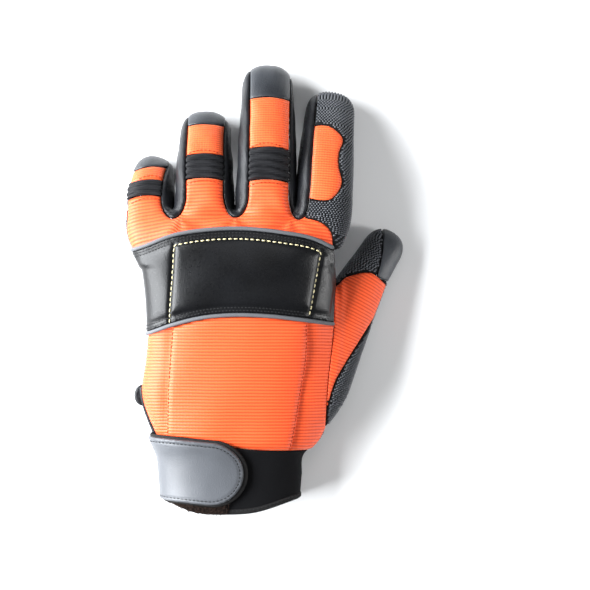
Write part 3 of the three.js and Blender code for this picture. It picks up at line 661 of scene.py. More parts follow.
def edges_of(faces):
    """Each edge once, the edge numbers of each face, and which edges lie on the border."""
    pairs = np.sort(np.stack([faces, np.roll(faces, -1, 1)], 2).reshape(-1, 2), axis=1)
    edges, where, uses = np.unique(pairs, axis=0, return_inverse=True, return_counts=True)
    return edges, where.reshape(faces.shape), uses == 1


def slide(points, moving, distance, target=0.1, rounds=4):
    """Moves the border points along the surface until the panel's distance is the target."""
    for _ in range(rounds):
        spot = points[moving]
        value = distance(spot)
        reach = 0.05
        slope = np.stack([(distance(spot + reach * np.eye(3)[k]) - value) / reach
                          for k in range(3)], axis=1)
        normal = outward(spot)
        slope -= (slope * normal).sum(1, keepdims=True) * normal
        steep = np.maximum((slope ** 2).sum(1, keepdims=True), 0.2)
        move = (target - value)[:, None] * slope / steep
        move *= np.minimum(1, 1.2 / np.maximum(np.linalg.norm(move, axis=1, keepdims=True), 1e-9))
        points[moving] = settle(spot + move, 1)
    return points


def relaxed(points, edges, still, rounds=2):
    """Each free point moves towards the mean of its neighbours and settles again."""
    for _ in range(rounds):
        total = np.zeros_like(points)
        count = np.zeros(len(points))
        for one, two in (edges.T, edges.T[::-1]):
            np.add.at(total, one, points[two])
            np.add.at(count, one, 1)
        mean = total / np.maximum(count, 1)[:, None]
        free = ~still
        points[free] = settle(points[free] * 0.4 + mean[free] * 0.6, 1)
    return points


def border_points(edges, border, count):
    flags = np.zeros(count, bool)
    flags[edges[border].ravel()] = True
    return flags


# %% [markdown]
# The cut puts these helpers together. Dividing a face in four adds a point in its middle and in
# the middle of each edge, as the Subdivide tool does. After each round the border slides back
# onto its seam and the rest onto the surface, so the form gets finer and not just denser.

# %% Cutting a panel
def cut(distance, fineness=1):
    """The panel's points and faces, refined, with which points lie on its border."""
    middle = net_points[net_faces].mean(1)
    faces = largest_part(net_faces[distance(middle) > 0], len(net_points))
    used, faces = np.unique(faces, return_inverse=True)
    faces = faces.reshape(-1, 4)
    points = net_points[used].copy()
    edges, of_face, border = edges_of(faces)
    rim = border_points(edges, border, len(points))
    points = slide(points, rim, distance)
    points = relaxed(points, edges, rim, 3)
    for _ in range(fineness):
        split = points[edges].mean(1)
        centre = points[faces].mean(1)
        first_edge, first_centre = len(points), len(points) + len(edges)
        own_edge = first_edge + of_face
        middle = np.broadcast_to((first_centre + np.arange(len(faces)))[:, None], faces.shape)
        faces = np.stack([faces, own_edge, middle, np.roll(own_edge, 1, 1)], 2).reshape(-1, 4)
        points = settle(np.vstack([points, split, centre]))
        edges, of_face, border = edges_of(faces)
        rim = border_points(edges, border, len(points))
        points = slide(points, rim, distance, rounds=2)
    points = relaxed(points, edges, rim, 2)
    return {"points": points, "faces": faces, "rim": rim}


def from_border(points, rim_points):
    """Distance from each point to the nearest border point."""
    found = np.empty(len(points))
    for rows in np.array_split(np.arange(len(points)), max(1, len(points) // 4000)):
        square = ((points[rows] ** 2).sum(1)[:, None] + (rim_points ** 2).sum(1)[None]
                  - 2 * points[rows] @ rim_points.T)
        found[rows] = np.sqrt(np.maximum(square.min(1), 0))
    return found


# %% [markdown]
# A sewn panel is its cut surface, moved in or out along the surface's own direction by an
# offset for each point: down at a seam, up where there is padding, in ridges where elastic
# gathers. Solidify then gives the cloth its thickness towards the hand. Each point also keeps
# its place on the cloth in millimetres, across and along, which the fabrics' patterns read.

# %% From a cut surface to a piece
SHEETS = {}


def rounded(gap, width):
    """Quarter circle from 0 at the border to 1 at the given width."""
    share = np.clip(gap / width, 0, 1)
    return np.sqrt(np.maximum(1 - (1 - share) ** 2, 0))


def waves(points, length, seed, count=7):
    """Sum of sine waves in different directions, about the given length: soft and uneven."""
    random = np.random.default_rng(seed)
    ways = random.normal(size=(count, 3))
    ways /= np.linalg.norm(ways, axis=1, keepdims=True)
    pace = 2 * math.pi / (length * random.uniform(0.7, 1.5, count))
    return np.sin(points @ ways.T * pace + random.uniform(0, 6.3, count)).sum(1) / count ** 0.5


def on_cloth(points):
    """Across is x. Along is y on the palm, and beyond the roots the way up the fingers' paths.

    Between two fingers it is the mean of both, each weighted by how near it is.
    """
    root_y = FINGER_ROOT * PALM_LENGTH
    along = points[:, 1].copy()
    rows = np.flatnonzero(points[:, 1] > root_y)
    if len(rows):
        spots = points[rows]
        beside = np.stack([spots[:, 0] - finger_middle(name, spots[:, 1]) for name in NAMES])
        weight = np.exp(-(beside / 9) ** 2) + 1e-9
        stations = np.stack([on_path(DIGITS[name], spots)[0] for name in NAMES])
        along[rows] = root_y + (weight * stations).sum(0) / weight.sum(0)
    return np.stack([points[:, 0], along], axis=1)


def on_digit(name, points):
    """Across is the way round the digit, along is the way up its path."""
    station, across, high = on_path(DIGITS[name], points)
    digit = DIGITS[name]
    round_it = np.arctan2(high / digit["deep"], -across / digit["wide"])
    return np.stack([round_it * (digit["wide"] + digit["deep"]) / 4, station], axis=1)


def cloth_of(name):
    return lambda points: on_digit(name, points)


# %% [markdown]
# Where it was cut from is kept, because trims are laid on it later.

# %% Pieces and sewn panels
def mesh_of(name, points, faces, cloth):
    """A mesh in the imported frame, in metres, with the place on the cloth as its UV map.

    What would dip below the table is pressed flat on it.
    """
    points = np.column_stack([points[:, :2], np.maximum(points[:, 2], 0.03)])
    mesh = bpy.data.meshes.new(name)
    mesh.from_pydata(((points - ORIGIN) * MM).tolist(), [], faces.tolist())
    layer = mesh.uv_layers.new(name="cloth")
    layer.data.foreach_set("uv", cloth[faces.ravel()].ravel())
    mesh.polygons.foreach_set("use_smooth", np.ones(len(faces), bool))
    mesh.update()
    piece = bpy.data.objects.new(name, mesh)
    bpy.context.scene.collection.objects.link(piece)
    return piece


def put_on(piece, slot, node=None, material=None):
    """The piece rides on the glove's body, and stands for its node."""
    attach(piece, "root")
    if node:
        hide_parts(node)
    piece.data.materials.append(material or MATERIALS[slot])
    return piece


def sewn(node, word, distance, slot, offset, thick=1.5, fineness=1, cloth=on_cloth, material=None):
    """Cuts the panel, moves its points by offset(points, gap, cloth) and makes its piece."""
    sheet = cut(distance, fineness)
    gap = from_border(sheet["points"], sheet["points"][sheet["rim"]])
    place = cloth(sheet["points"])
    normal = outward(sheet["points"])
    rise = offset(sheet["points"], gap, place)
    moved = sheet["points"] + normal * rise[:, None]
    piece = mesh_of(f"{node}_{word}", moved, sheet["faces"], place)
    wall = piece.modifiers.new("thickness", "SOLIDIFY")
    wall.thickness = thick * MM
    wall.offset = -1
    put_on(piece, slot, node, material)
    SHEETS[node] = {"base": sheet["points"], "rise": rise}
    print(piece.name, len(sheet["faces"]), "faces")
    return piece


# %% [markdown]
# The finishes are procedural. A node graph for a fabric reads the place on the cloth: a sine wave along
# it makes ribs, as painted shade in the grooves of the colour and as relief in the bump. Leather reads
# Object coordinates: cells for the grain, slow noise for creases and worn tone.

# %% Helpers for the finishes
def graph(name, colour, roughness):
    """A material with its shader, and a short way to add nodes and link them."""
    material = bpy.data.materials.new(name)
    material.use_nodes = True
    nodes, links = material.node_tree.nodes, material.node_tree.links
    shader = nodes["Principled BSDF"]
    shader.inputs["Base Color"].default_value = (*colour, 1)
    shader.inputs["Roughness"].default_value = roughness

    def node(kind, *sources, **settings):
        made = nodes.new("ShaderNode" + kind)
        for key, value in settings.items():
            if key in made.bl_rna.properties:
                setattr(made, key, value)
            else:
                made.inputs[key.replace("_", " ").title()].default_value = value
        for socket, source in zip(made.inputs, sources):
            if isinstance(source, (int, float)):
                socket.default_value = source
            else:
                links.new(source, socket)
        return made

    return material, shader, node, links


def sums(node, kind, *sources):
    return node("Math", *sources, operation=kind).outputs[0]


def blend_colours(node, links, share, first, second):
    mix = node("Mix", data_type="RGBA")
    links.new(share, mix.inputs["Factor"])
    for socket, colour in (("A", first), ("B", second)):
        target = [s for s in mix.inputs if s.name == socket and s.type == "RGBA"][0]
        target.default_value = (*colour, 1)
    return [s for s in mix.outputs if s.type == "RGBA"][0]


def set_bump(node, links, shader, height, strength, depth):
    bump = node("Bump")
    bump.inputs["Strength"].default_value = strength
    bump.inputs["Distance"].default_value = depth * MM
    links.new(height, bump.inputs["Height"])
    links.new(bump.outputs[0], shader.inputs["Normal"])


# %% [markdown]
# Stretch fabric with ribs, as sewn on the back of the glove. A rib is a rounded ridge, so a
# sine wave serves, raised to a power below one, which makes its top broad and its groove
# narrow. Noise bends the ribs a little, as in real cloth. A picture of cloth could be wrapped
# round the form instead, but a formula stays sharp close up and takes its pitch in millimetres.

# %% Ribbed stretch fabric
def ribbed(name, colour, groove, pitch, column, relief, roughness=0.5, sheen=0.25):
    """Ribs across the cloth: sine of the place along it, with knit columns at right angles, and painted
    shade in the grooves.
    """
    material, shader, node, links = graph(name, colour, roughness)
    cloth = node("UVMap", uv_map="cloth")
    split = node("SeparateXYZ", cloth.outputs[0])
    across, along = split.outputs[0], split.outputs[1]
    object_place = node("TexCoord").outputs["Object"]
    drift = node("TexNoise", object_place, scale=45.0, detail=2.0).outputs["Fac"]
    along = sums(node, "ADD", along, sums(node, "MULTIPLY", drift, 0.55))
    rib = sums(node, "SINE", sums(node, "MULTIPLY", along, 2 * math.pi / pitch))
    rib = sums(node, "ADD", sums(node, "MULTIPLY", rib, 0.5), 0.5)
    rib = sums(node, "POWER", rib, 0.6)
    knit = sums(node, "SINE", sums(node, "MULTIPLY", across, 2 * math.pi / column))
    knit = sums(node, "ADD", sums(node, "MULTIPLY", knit, 0.5), 0.5)
    fibre = node("TexNoise", object_place, scale=2600.0, detail=3.0).outputs["Fac"]
    height = sums(node, "ADD", rib, sums(node, "MULTIPLY", knit, 0.16))
    height = sums(node, "ADD", height, sums(node, "MULTIPLY", fibre, 0.3))
    # Painted shade: the colour runs from colour down to groove, darker in the grooves between the ribs.
    tone = sums(node, "ADD", sums(node, "MULTIPLY", rib, 0.75), sums(node, "MULTIPLY", knit, 0.12))
    tone = sums(node, "ADD", tone, sums(node, "MULTIPLY", fibre, 0.16))
    links.new(blend_colours(node, links, tone, groove, colour), shader.inputs["Base Color"])
    set_bump(node, links, shader, height, 0.75, relief)
    shader.inputs["Sheen Weight"].default_value = sheen
    shader.inputs["Sheen Roughness"].default_value = 0.35
    shader.inputs["Sheen Tint"].default_value = (1.0, 0.55, 0.35, 1)
    shader.inputs["Specular IOR Level"].default_value = 0.35 if sheen else 0.15
    return material


# %% [markdown]
# Leather, rubber, knits and threads. Leather is a sheet with fine grain, slow creases and worn,
# paler places, and moulded rubber is much the same with less grain. The grip fabric, the
# neoprene's face, the piping and the threads are knits, two crossed waves. Two functions make
# all of them, and the table below holds what sets them apart, so they are tuned side by side.

# %% Leather, coated leather, grip fabric and trims
def leather(name, colour, worn, roughness, grain, crease, shine=0.5):
    """Grain as cells a third of a millimetre wide, creases and worn tone as slow noise."""
    material, shader, node, links = graph(name, colour, roughness)
    place = node("TexCoord").outputs["Object"]
    cells = node("TexVoronoi", place, scale=1900.0).outputs["Distance"]
    slow = node("TexNoise", place, scale=110.0, detail=5.0).outputs["Fac"]
    tone = node("TexNoise", place, scale=38.0, detail=3.0).outputs["Fac"]
    fine = node("TexNoise", place, scale=900.0, detail=4.0).outputs["Fac"]
    height = sums(node, "MULTIPLY", cells, grain)
    height = sums(node, "ADD", height, sums(node, "MULTIPLY", slow, crease))
    height = sums(node, "ADD", height, sums(node, "MULTIPLY", fine, grain * 0.6))
    ramp = node("MapRange", tone)
    ramp.inputs["From Min"].default_value = 0.35
    ramp.inputs["From Max"].default_value = 0.72
    links.new(blend_colours(node, links, ramp.outputs[0], colour, worn), shader.inputs["Base Color"])
    rough = sums(node, "ADD", sums(node, "MULTIPLY", fine, 0.22), roughness - 0.1)
    links.new(rough, shader.inputs["Roughness"])
    set_bump(node, links, shader, height, 0.55, 0.35)
    shader.inputs["Specular IOR Level"].default_value = shine
    return material


def knitted(name, colour, thread, pitch, relief, roughness):
    """Plain knit: two crossed sine waves of the place on the cloth, and fibre noise."""
    material, shader, node, links = graph(name, colour, roughness)
    split = node("SeparateXYZ", node("UVMap", uv_map="cloth").outputs[0])
    place = node("TexCoord").outputs["Object"]
    one = sums(node, "SINE", sums(node, "MULTIPLY", split.outputs[0], 2 * math.pi / pitch))
    two = sums(node, "SINE", sums(node, "MULTIPLY", split.outputs[1], 2 * math.pi / pitch))
    weave = sums(node, "MULTIPLY", one, two)
    weave = sums(node, "ADD", sums(node, "MULTIPLY", weave, 0.5), 0.5)
    fibre = node("TexNoise", place, scale=2200.0, detail=3.0).outputs["Fac"]
    height = sums(node, "ADD", weave, sums(node, "MULTIPLY", fibre, 0.5))
    tone = sums(node, "ADD", sums(node, "MULTIPLY", weave, 0.55), sums(node, "MULTIPLY", fibre, 0.4))
    links.new(blend_colours(node, links, tone, colour, thread), shader.inputs["Base Color"])
    set_bump(node, links, shader, height, 0.6, relief)
    shader.inputs["Specular IOR Level"].default_value = 0.12
    return material


# %% [markdown]
# The finishes of this glove. Each row gives the two colours between which a finish varies, in
# linear light, and after them its pitch in millimetres or its roughness, and how deep its relief
# is. The nearly black ones stay above zero, so that light can still model them.

# %% Finishes of this glove
# For the ribbed fabrics the second colour is painted shade, the darkening in the grooves between the
# ribs.
MATERIALS = {
    "ribbed_fabric": ribbed("orange_ribs", (1.0, 0.125, 0.028), (0.55, 0.036, 0.008),
                            1.75, 0.8, 0.3),
    "elastic_band": ribbed("black_elastic", (0.015, 0.015, 0.017), (0.005, 0.005, 0.006),
                           0.9, 0.7, 0.2, 0.6, 0.0),
    "leather": leather("slate_leather", (0.016, 0.018, 0.022), (0.036, 0.04, 0.047),
                       0.36, 0.6, 0.8),
    "coated_leather": leather("coated_leather", (0.0025, 0.0026, 0.003), (0.006, 0.0063, 0.0075),
                              0.3, 0.25, 0.3, 0.28),
    "grip_fabric": knitted("grip_knit", (0.003, 0.0032, 0.0038), (0.01, 0.011, 0.012),
                           1.0, 0.2, 0.8),
    "piping": knitted("grey_piping", (0.075, 0.078, 0.084), (0.16, 0.165, 0.177),
                      0.5, 0.06, 0.4),
    "neoprene": knitted("neoprene", (0.002, 0.002, 0.0025), (0.006, 0.006, 0.007),
                        0.6, 0.08, 0.9),
    "binding": knitted("hem_binding", (0.006, 0.006, 0.006), (0.025, 0.024, 0.024),
                       0.9, 0.2, 0.8),
    "loop_pile": knitted("pile_ground", (0.003, 0.0022, 0.002), (0.012, 0.008, 0.0065),
                         0.7, 0.3, 1.0),
    "rubber_strap": leather("grey_rubber", (0.066, 0.07, 0.078), (0.085, 0.09, 0.1),
                            0.38, 0.35, 0.1, 0.35),
}
PATCH = ribbed("orange_patch", (1.0, 0.145, 0.033), (0.6, 0.045, 0.01), 1.3, 1.3, 0.22)
SIDE = leather("side_leather", (0.005, 0.0052, 0.006), (0.014, 0.015, 0.018), 0.3, 0.6, 0.9, 0.2)
CREAM = knitted("cream_thread", (0.55, 0.47, 0.25), (0.85, 0.78, 0.5), 0.4, 0.1, 0.6)
BLACK_THREAD = knitted("black_thread", (0.006, 0.006, 0.006), (0.04, 0.04, 0.042), 0.4, 0.1, 0.5)
# The orange thread is darker than the orange fabric: its own colour with painted shade of the stitch
# holes.
ORANGE_THREAD_PAINTED_SHADE = knitted("orange_thread_painted_shade", (0.2, 0.02, 0.006), (0.45, 0.05, 0.015), 0.4, 0.1, 0.6)
PILE_FIBRE = knitted("pile_fibre", (0.006, 0.004, 0.0035), (0.045, 0.027, 0.02), 0.9, 0.1, 0.9)
BEAD = leather("bead_rubber", (0.055, 0.059, 0.068), (0.08, 0.085, 0.096), 0.3, 0.05, 0.05)
print("finishes", len(bpy.data.materials))


# %% [markdown]
# The orange back. Stretch fabric runs from the wrist over the knuckles and up to the elastic
# band of each finger. It dips into its seams, lies in soft waves where it is slack, and is
# pinched towards the crotches, where the leather between the fingers is sewn in.

# %% Orange back panel
def seam_dip(gap, depth=0.7, width=2.2):
    return -depth * (1 - rounded(gap, width))


def pinched(points):
    """Folds that fan out from each crotch: a sine of the angle round it, faded with distance."""
    folds = np.zeros(len(points))
    for k, (across, _) in enumerate(IN_CROTCH):
        aside = points[:, 0] - across
        ahead = points[:, 1] - FINGERS[NAMES[k]]["crotch"] * PALM_LENGTH
        away = np.hypot(aside, ahead)
        fan = np.sin(5 * np.arctan2(ahead, aside) + 2 * k)
        folds += (0.45 + 0.12 * k) * fan * np.exp(-((away - 11) / 7) ** 2)
    return folds * np.clip(-within(knuckle_outline, points) / 4, 0, 1)


def back_offset(points, gap, cloth):
    """Seam dip, slack waves and folds, and a hollow that rises to the padded middle's border."""
    slack = waves(points, 26, 3) * 0.3 * rounded(gap, 9)
    beside_pad = np.exp(-(np.minimum(within(pad_outline, points), 0) / 3.5) ** 2)
    hollow = 0.8 * beside_pad * rounded(gap, 5)
    return seam_dip(gap) + slack + pinched(points) * rounded(gap, 4) - hollow


sewn("back_panel", "fabric", region(back_outline, top=True), "ribbed_fabric", back_offset)

# %% [markdown]
# Finger backs. Each has an orange patch, a black elastic band gathered into ridges, and a
# leather cap over the tip. Cloth simulation could gather the elastic, but a rounded wave along
# the finger gives the few even ridges directly. Slow noise makes them lean and swell a little.

# %% Patches, bands and caps
RIDGES = {"little": 3, "ring": 4, "middle": 5}


def patch_offset(points, gap, cloth):
    return seam_dip(gap, 0.6, 2.4) + waves(points, 15, 8) * 0.12


def band_offset(name):
    def offset(points, gap, cloth):
        finger = FINGERS[name]
        low = along_finger(name, finger["band_foot"])
        high = along_finger(name, finger["band_top"])
        half = finger["wide"] * FINGER_WIDTH / 2
        beside = (points[:, 0] - finger_middle(name, points[:, 1])) / half
        level = (points[:, 1] + SEAM_ARCH * beside ** 2 * 1.4 - low) / (high - low)
        level = level + 0.022 * waves(points, 20, 21)
        ridge = np.abs(np.sin(math.pi * level * RIDGES[name])) ** 0.7
        strength = 1.6 + 0.25 * waves(points, 12, 23)
        return seam_dip(gap, 0.5, 1.5) + strength * ridge - 0.6
    return offset


def cap_offset(points, gap, cloth):
    return seam_dip(gap, 0.3, 1.6) + 0.35 + waves(points, 12, 12) * 0.12


for name in BANDED:
    finger = FINGERS[name]
    patch = between(name, finger["band_top"], finger["cap_foot"])
    band = between(name, finger["band_foot"], finger["band_top"])
    sewn(f"{name}_patch", "fabric", region(patch, top=True), "ribbed_fabric", patch_offset,
         cloth=cloth_of(name), material=PATCH)
    sewn(f"{name}_band", "elastic", region(band, top=True), "elastic_band", band_offset(name),
         cloth=cloth_of(name), fineness=2)
    sewn(f"{name}_cap", "leather", region(tip_outline(name, finger["cap_foot"]), top=True),
         "leather", cap_offset, cloth=cloth_of(name))
sewn("index_patch", "fabric", region(index_patch_outline, top=True), "ribbed_fabric",
     patch_offset, cloth=cloth_of("index"), material=PATCH)


# %% [markdown]
# Leather between the fingers. One strip runs down a finger, round the crotch and up the next
# finger. Its edge is turned in and stands up beside the cloth as a soft roll. A tube along the
# seam would show only the roll. As an offset of the cut strip, roll and strip are one leather.

# %% Leather sides
def roll_offset(points, gap, cloth):
    """A roll 1 mm proud of the hand, flatter towards the tips, which dive to the table."""
    proud = 0.4 + 0.6 * np.clip((points[:, 2] - 12) / 10, 0, 1)
    return (1.5 * rounded(gap, 2.6) - 0.5) * proud + waves(points, 9, 31) * 0.2 * rounded(gap, 6)


for node, outline in SIDES.items():
    sewn(node, "leather", region(outline, leather=False), "leather", roll_offset, material=SIDE)


# %% [markdown]
# The palm side. Grip fabric covers the palm and wraps the index finger. The other fingers are
# leather below, with an oval of grip fabric let into each tip. The outlines are drawn from
# above as well, and the parting surface keeps what lies below it. Leather that lies in the
# bend of a finger wrinkles, so narrow folds run across it.

# %% Palm, finger undersides and grip pads
index_room = region(index_patch_outline, top=True, leather=False)
palm_half = region(palm_outline, top=False, leather=False)
index_side = region(index_wrap, leather=False)


def palm_distance(points):
    covered = np.maximum(palm_half(points), index_side(points))
    return np.min([covered, -index_room(points), no_side_leather(points)], axis=0)


def grip_offset(points, gap, cloth):
    return seam_dip(gap, 0.6, 2.2) + waves(points, 24, 41) * 0.2 * rounded(gap, 8)


def lower_leather_offset(points, gap, cloth):
    folds = np.abs(np.sin(cloth[:, 1] * 0.55 + waves(points, 11, 52) * 1.6)) ** 2
    return seam_dip(gap, 0.6, 2) - 0.5 * folds * rounded(gap, 5) + waves(points, 7, 51) * 0.16


sewn("palm_panel", "grip", palm_distance, "grip_fabric", grip_offset, fineness=0)
for name in BANDED:
    pad, lower = grip_pad_outline(name), finger_palm_outline(name)
    sewn(f"{name}_palm", "leather", region(lower, top=False, without=[pad]), "leather",
         lower_leather_offset, cloth=cloth_of(name))
    sewn(f"{name}_grip_pad", "grip", region(lower, pad, top=False), "grip_fabric",
         lambda points, gap, cloth: seam_dip(gap, 0.5, 1.6), cloth=cloth_of(name))


# %% [markdown]
# The thumb. An orange gusset covers its back from the wrist to the knuckle, grip fabric the
# rest, and a leather cap the tip. The gusset is set in between the thumb and the hand, so it
# ends at the parting surface on the thumb, and a little below it in the web. All three are cut
# from the one form. A thumb of its own could be joined on, but its seams would have to be
# fitted to the hand by eye.

# %% Thumb
WEB_END = 66
WEB_FADE = 6


def thumb_back(points):
    """Inside the gusset's outline and above the parting, or a little below it in the web."""
    past = np.clip((WEB_END - points[:, 0]) / WEB_FADE, 0, 1) * PAST_PARTING * KNUCKLE_HEIGHT
    return np.minimum(within(thumb_outline, points), above(points) + past)


def thumb_cap_distance(points):
    inside = region(thumb_region, thumb_cap_outline, leather=False)(points)
    return np.minimum(inside, -thumb_back(points))


def thumb_grip_distance(points):
    inside = region(thumb_region, leather=False, without=[thumb_cap_outline])(points)
    return np.minimum(inside, -thumb_back(points))


def gusset_offset(points, gap, cloth):
    """A soft fold stands up beside the seam that joins the gusset to the back of the hand."""
    beside_seam = points[:, 0] - np.interp(points[:, 1], thumb_seam[:, 1], thumb_seam[:, 0])
    fold = np.exp(-((beside_seam - 3.6) / 1.9) ** 2) * (0.7 + 0.3 * waves(points, 22, 29))
    return seam_dip(gap) + (waves(points, 26, 3) * 0.25 + 1.1 * fold) * rounded(gap, 5)


thumb_cloth = cloth_of("thumb")
sewn("thumb_panel", "fabric", thumb_back, "ribbed_fabric", gusset_offset, cloth=thumb_cloth)
sewn("thumb_cap", "leather", thumb_cap_distance, "leather", cap_offset, cloth=thumb_cloth)
sewn("thumb_grip", "grip", thumb_grip_distance, "grip_fabric", grip_offset, fineness=0,
     cloth=thumb_cloth)

# %% [markdown]
# The cuff is smooth neoprene, thicker than the cloth and a little stretched over the wrist. A
# plain tube would do for it, but cut from the hand's surface it meets the wrist seam and
# follows the curve of its mouth. Slow waves keep it from looking machined.

# %% Cuff
def cuff_offset(points, gap, cloth):
    return waves(points, 30, 61) * 0.3 * rounded(gap, 8)


sewn("cuff", "neoprene", region(cuff_outline, cuff_top, leather=False), "neoprene", cuff_offset,
     thick=2.0, fineness=0)


# %% [markdown]
# Two padded layers are sewn on top: the leather panel over the knuckles and the middle of the
# back. They could be sculpted as cushions. Here they are cut from the same surface as the rest
# and stand off it by their own thickness, rounded down to it at the border, and pressed in
# wherever a row of stitches holds them down.

# %% Knuckle panel and padded back
FRAME_LEFT = np.array([(-0.325, 0.637), (-0.298, 0.894)]) * (PALM_WIDTH, PALM_LENGTH)
FRAME_RIGHT = np.array([(0.375, 0.657), (0.434, 0.876)]) * (PALM_WIDTH, PALM_LENGTH)
KNUCKLE_ROWS = (1.7, 3.3)
FRAME_TOP = 4.8


def from_line(points, line):
    """Distance in plan to a straight stitched line between two places."""
    start, end = line
    along = end - start
    offset = points[:, :2] - start
    t = np.clip(offset @ along / (along @ along), 0, 1)
    return np.hypot(*(offset - t[:, None] * along).T)


def knuckle_offset(points, gap, cloth):
    """A flat welt round the border, stitched rows pressed in, and padding inside the frame."""
    frame_sides = (FRAME_LEFT, FRAME_RIGHT)
    pressed = sum(np.exp(-(from_line(points, line) / 1.1) ** 2) for line in frame_sides)
    rows = sum(np.exp(-((gap - row) / 0.7) ** 2) for row in KNUCKLE_ROWS)
    left, right = (np.interp(points[:, 1], line[:, 1], line[:, 0]) for line in frame_sides)
    inside = np.minimum(points[:, 0] - left, right - points[:, 0])
    padded = rounded(np.minimum(inside, gap - FRAME_TOP), 5)
    beside = rounded(np.minimum(-inside, gap - FRAME_TOP), 6) * (inside < 0)
    hollow = waves(points, 26, 17) * 0.25 * rounded(gap, 8)
    return (0.6 + 1.1 * rounded(gap, 1.4) + 1.1 * padded + 0.6 * beside + hollow
            - 0.7 * pressed - 0.3 * rows)


def pad_offset(points, gap, cloth):
    """A flat cushion, 1.4 mm proud of the hand, that rounds down to its seam."""
    return 2.2 * rounded(gap, 4.5) - 0.8 + waves(points, 30, 71) * 0.3 * rounded(gap, 9)


sewn("knuckle_panel", "leather", region(knuckle_outline, top=True, leather=False),
               "coated_leather", knuckle_offset, thick=1.0)
sewn("back_pad", "fabric", region(pad_outline, top=True, leather=False), "ribbed_fabric",
               pad_offset, thick=1.0)


# %% [markdown]
# Trim that follows a line, such as piping, hem and stitches, needs that line on the surface. A
# line drawn from above is dropped onto the hand: the field is read down a column of heights,
# and the first change of sign is the surface.

# %% Lines dropped onto the surface
def evenly(points, spacing):
    """Points along a line of places, the same distance apart, starting half a step in."""
    run = np.r_[0, np.cumsum(np.linalg.norm(np.diff(points, axis=0), axis=1))]
    at = np.arange(spacing / 2, run[-1], spacing)
    return np.stack([np.interp(at, run, column) for column in points.T], axis=1)


def drape(line, lift, spacing):
    """Points of a plan line on the top surface, evenly spaced, raised by lift, and the normals."""
    line = evenly(np.asarray(line, float)[:, :2], 0.4)
    height = np.linspace(58, 0.5, 140)
    heights = np.broadcast_to(height[None, :, None], (len(line), len(height), 1))
    column = np.concatenate([np.repeat(line[:, None], len(height), 1), heights], 2)
    value = read(column.reshape(-1, 3)).reshape(len(line), -1)
    hit = (value < 0).argmax(1)
    on_hand = (value < 0).any(1) & (hit > 0)
    line, value, hit = line[on_hand], value[on_hand], hit[on_hand]
    rows = np.arange(len(line))
    before, after = value[rows, hit - 1], value[rows, hit]
    z = height[hit - 1] + before / (before - after) * (height[hit] - height[hit - 1])
    points = settle(evenly(np.column_stack([line, z]), spacing), rounds=2)
    normal = outward(points)
    lift = lift(points) if callable(lift) else lift
    return points + normal * np.reshape(lift, (-1, 1)), normal


def over(node, more=0.0):
    """A lift: how high the piece stands off the hand at its point nearest to each place."""
    base, rise = SHEETS[node]["base"], SHEETS[node]["rise"]

    def lift(points):
        square = (base ** 2).sum(1)[None] - 2 * points @ base.T
        return rise[square.argmin(1)] + more
    return lift


# %% [markdown]
# A tube is a round profile carried along such a line. The line's own direction and the surface's
# normal say how each ring stands, so the tube can't twist. A curve object with a bevel works out
# its own twist, which has to be mended by hand on a bent seam.

# %% Tubes along a line
def directions(points):
    forward = np.gradient(points, axis=0)
    return forward / np.maximum(np.linalg.norm(forward, axis=1, keepdims=True), 1e-9)


def cap_quads(count):
    """A ring of an even count of points closed by a fan of four-sided faces."""
    middle = np.arange(1, count // 2)
    return np.stack([0 * middle, 2 * middle - 1, 2 * middle, 2 * middle + 1], axis=1)


def tube(points, normal, wide, high, sides=12):
    """A round profile carried along a line: cosine across it, sine along the normal.

    Its first and last ring are half as large and closed by faces.
    """
    forward = directions(points)
    across = np.cross(forward, normal)
    turn = np.arange(sides) * 2 * math.pi / sides
    reach = np.ones(len(points))
    reach[[0, -1]] = 0.5
    ring = (np.cos(turn)[None, :, None] * across[:, None] * wide / 2
            + np.sin(turn)[None, :, None] * normal[:, None] * high / 2)
    grid = points[:, None] + ring * reach[:, None, None]
    row = np.arange(len(points) - 1)[:, None] * sides
    here, following = row + np.arange(sides), row + (np.arange(sides) + 1) % sides
    faces = np.stack([here, here + sides, following + sides, following], axis=2).reshape(-1, 4)
    last = (len(points) - 1) * sides
    faces = np.vstack([faces, cap_quads(sides)[:, ::-1], last + cap_quads(sides)])
    along = np.arange(len(points))[:, None] * 0.8
    cloth = np.stack(np.broadcast_arrays(turn[None] * wide, along), axis=2)
    return grid.reshape(-1, 3), faces, cloth.reshape(-1, 2)


# %% [markdown]
# The piping is a grey cord, wrapped in tape and caught in the upper and lower seam of the
# knuckle panel. A curve with a round bevel would make it too. Here a profile is carried along
# the seam's own line on the surface, so that the cord neither sinks in nor floats.

# %% Piping of the knuckle panel
def part_of(line, low, high):
    """The part of a plan line between two places across the hand."""
    return line[(line[:, 0] > low) & (line[:, 0] < high)]


def piping(node, line, step):
    points, normal = drape(part_of(line + (0, step), -57, 56), 1.1, spacing=0.8)
    place, faces, cloth = tube(points, normal, 2.2, 2.4)
    put_on(mesh_of(f"{node}_cord", place, faces, cloth), "piping", node)
    print(node, "runs through", len(points), "places")


piping("upper_piping", knuckle_top, 0.8)
piping("lower_piping", knuckle_foot, -0.8)


# %% [markdown]
# Stitches. Thread shows as short rounded bars, one after the other along the seam. One small
# shape is made once, and all its copies are placed at the same time, as arrays of places with
# a direction and a normal each. Instances on a curve look the same, but each seam here becomes
# one plain mesh that any program can read.

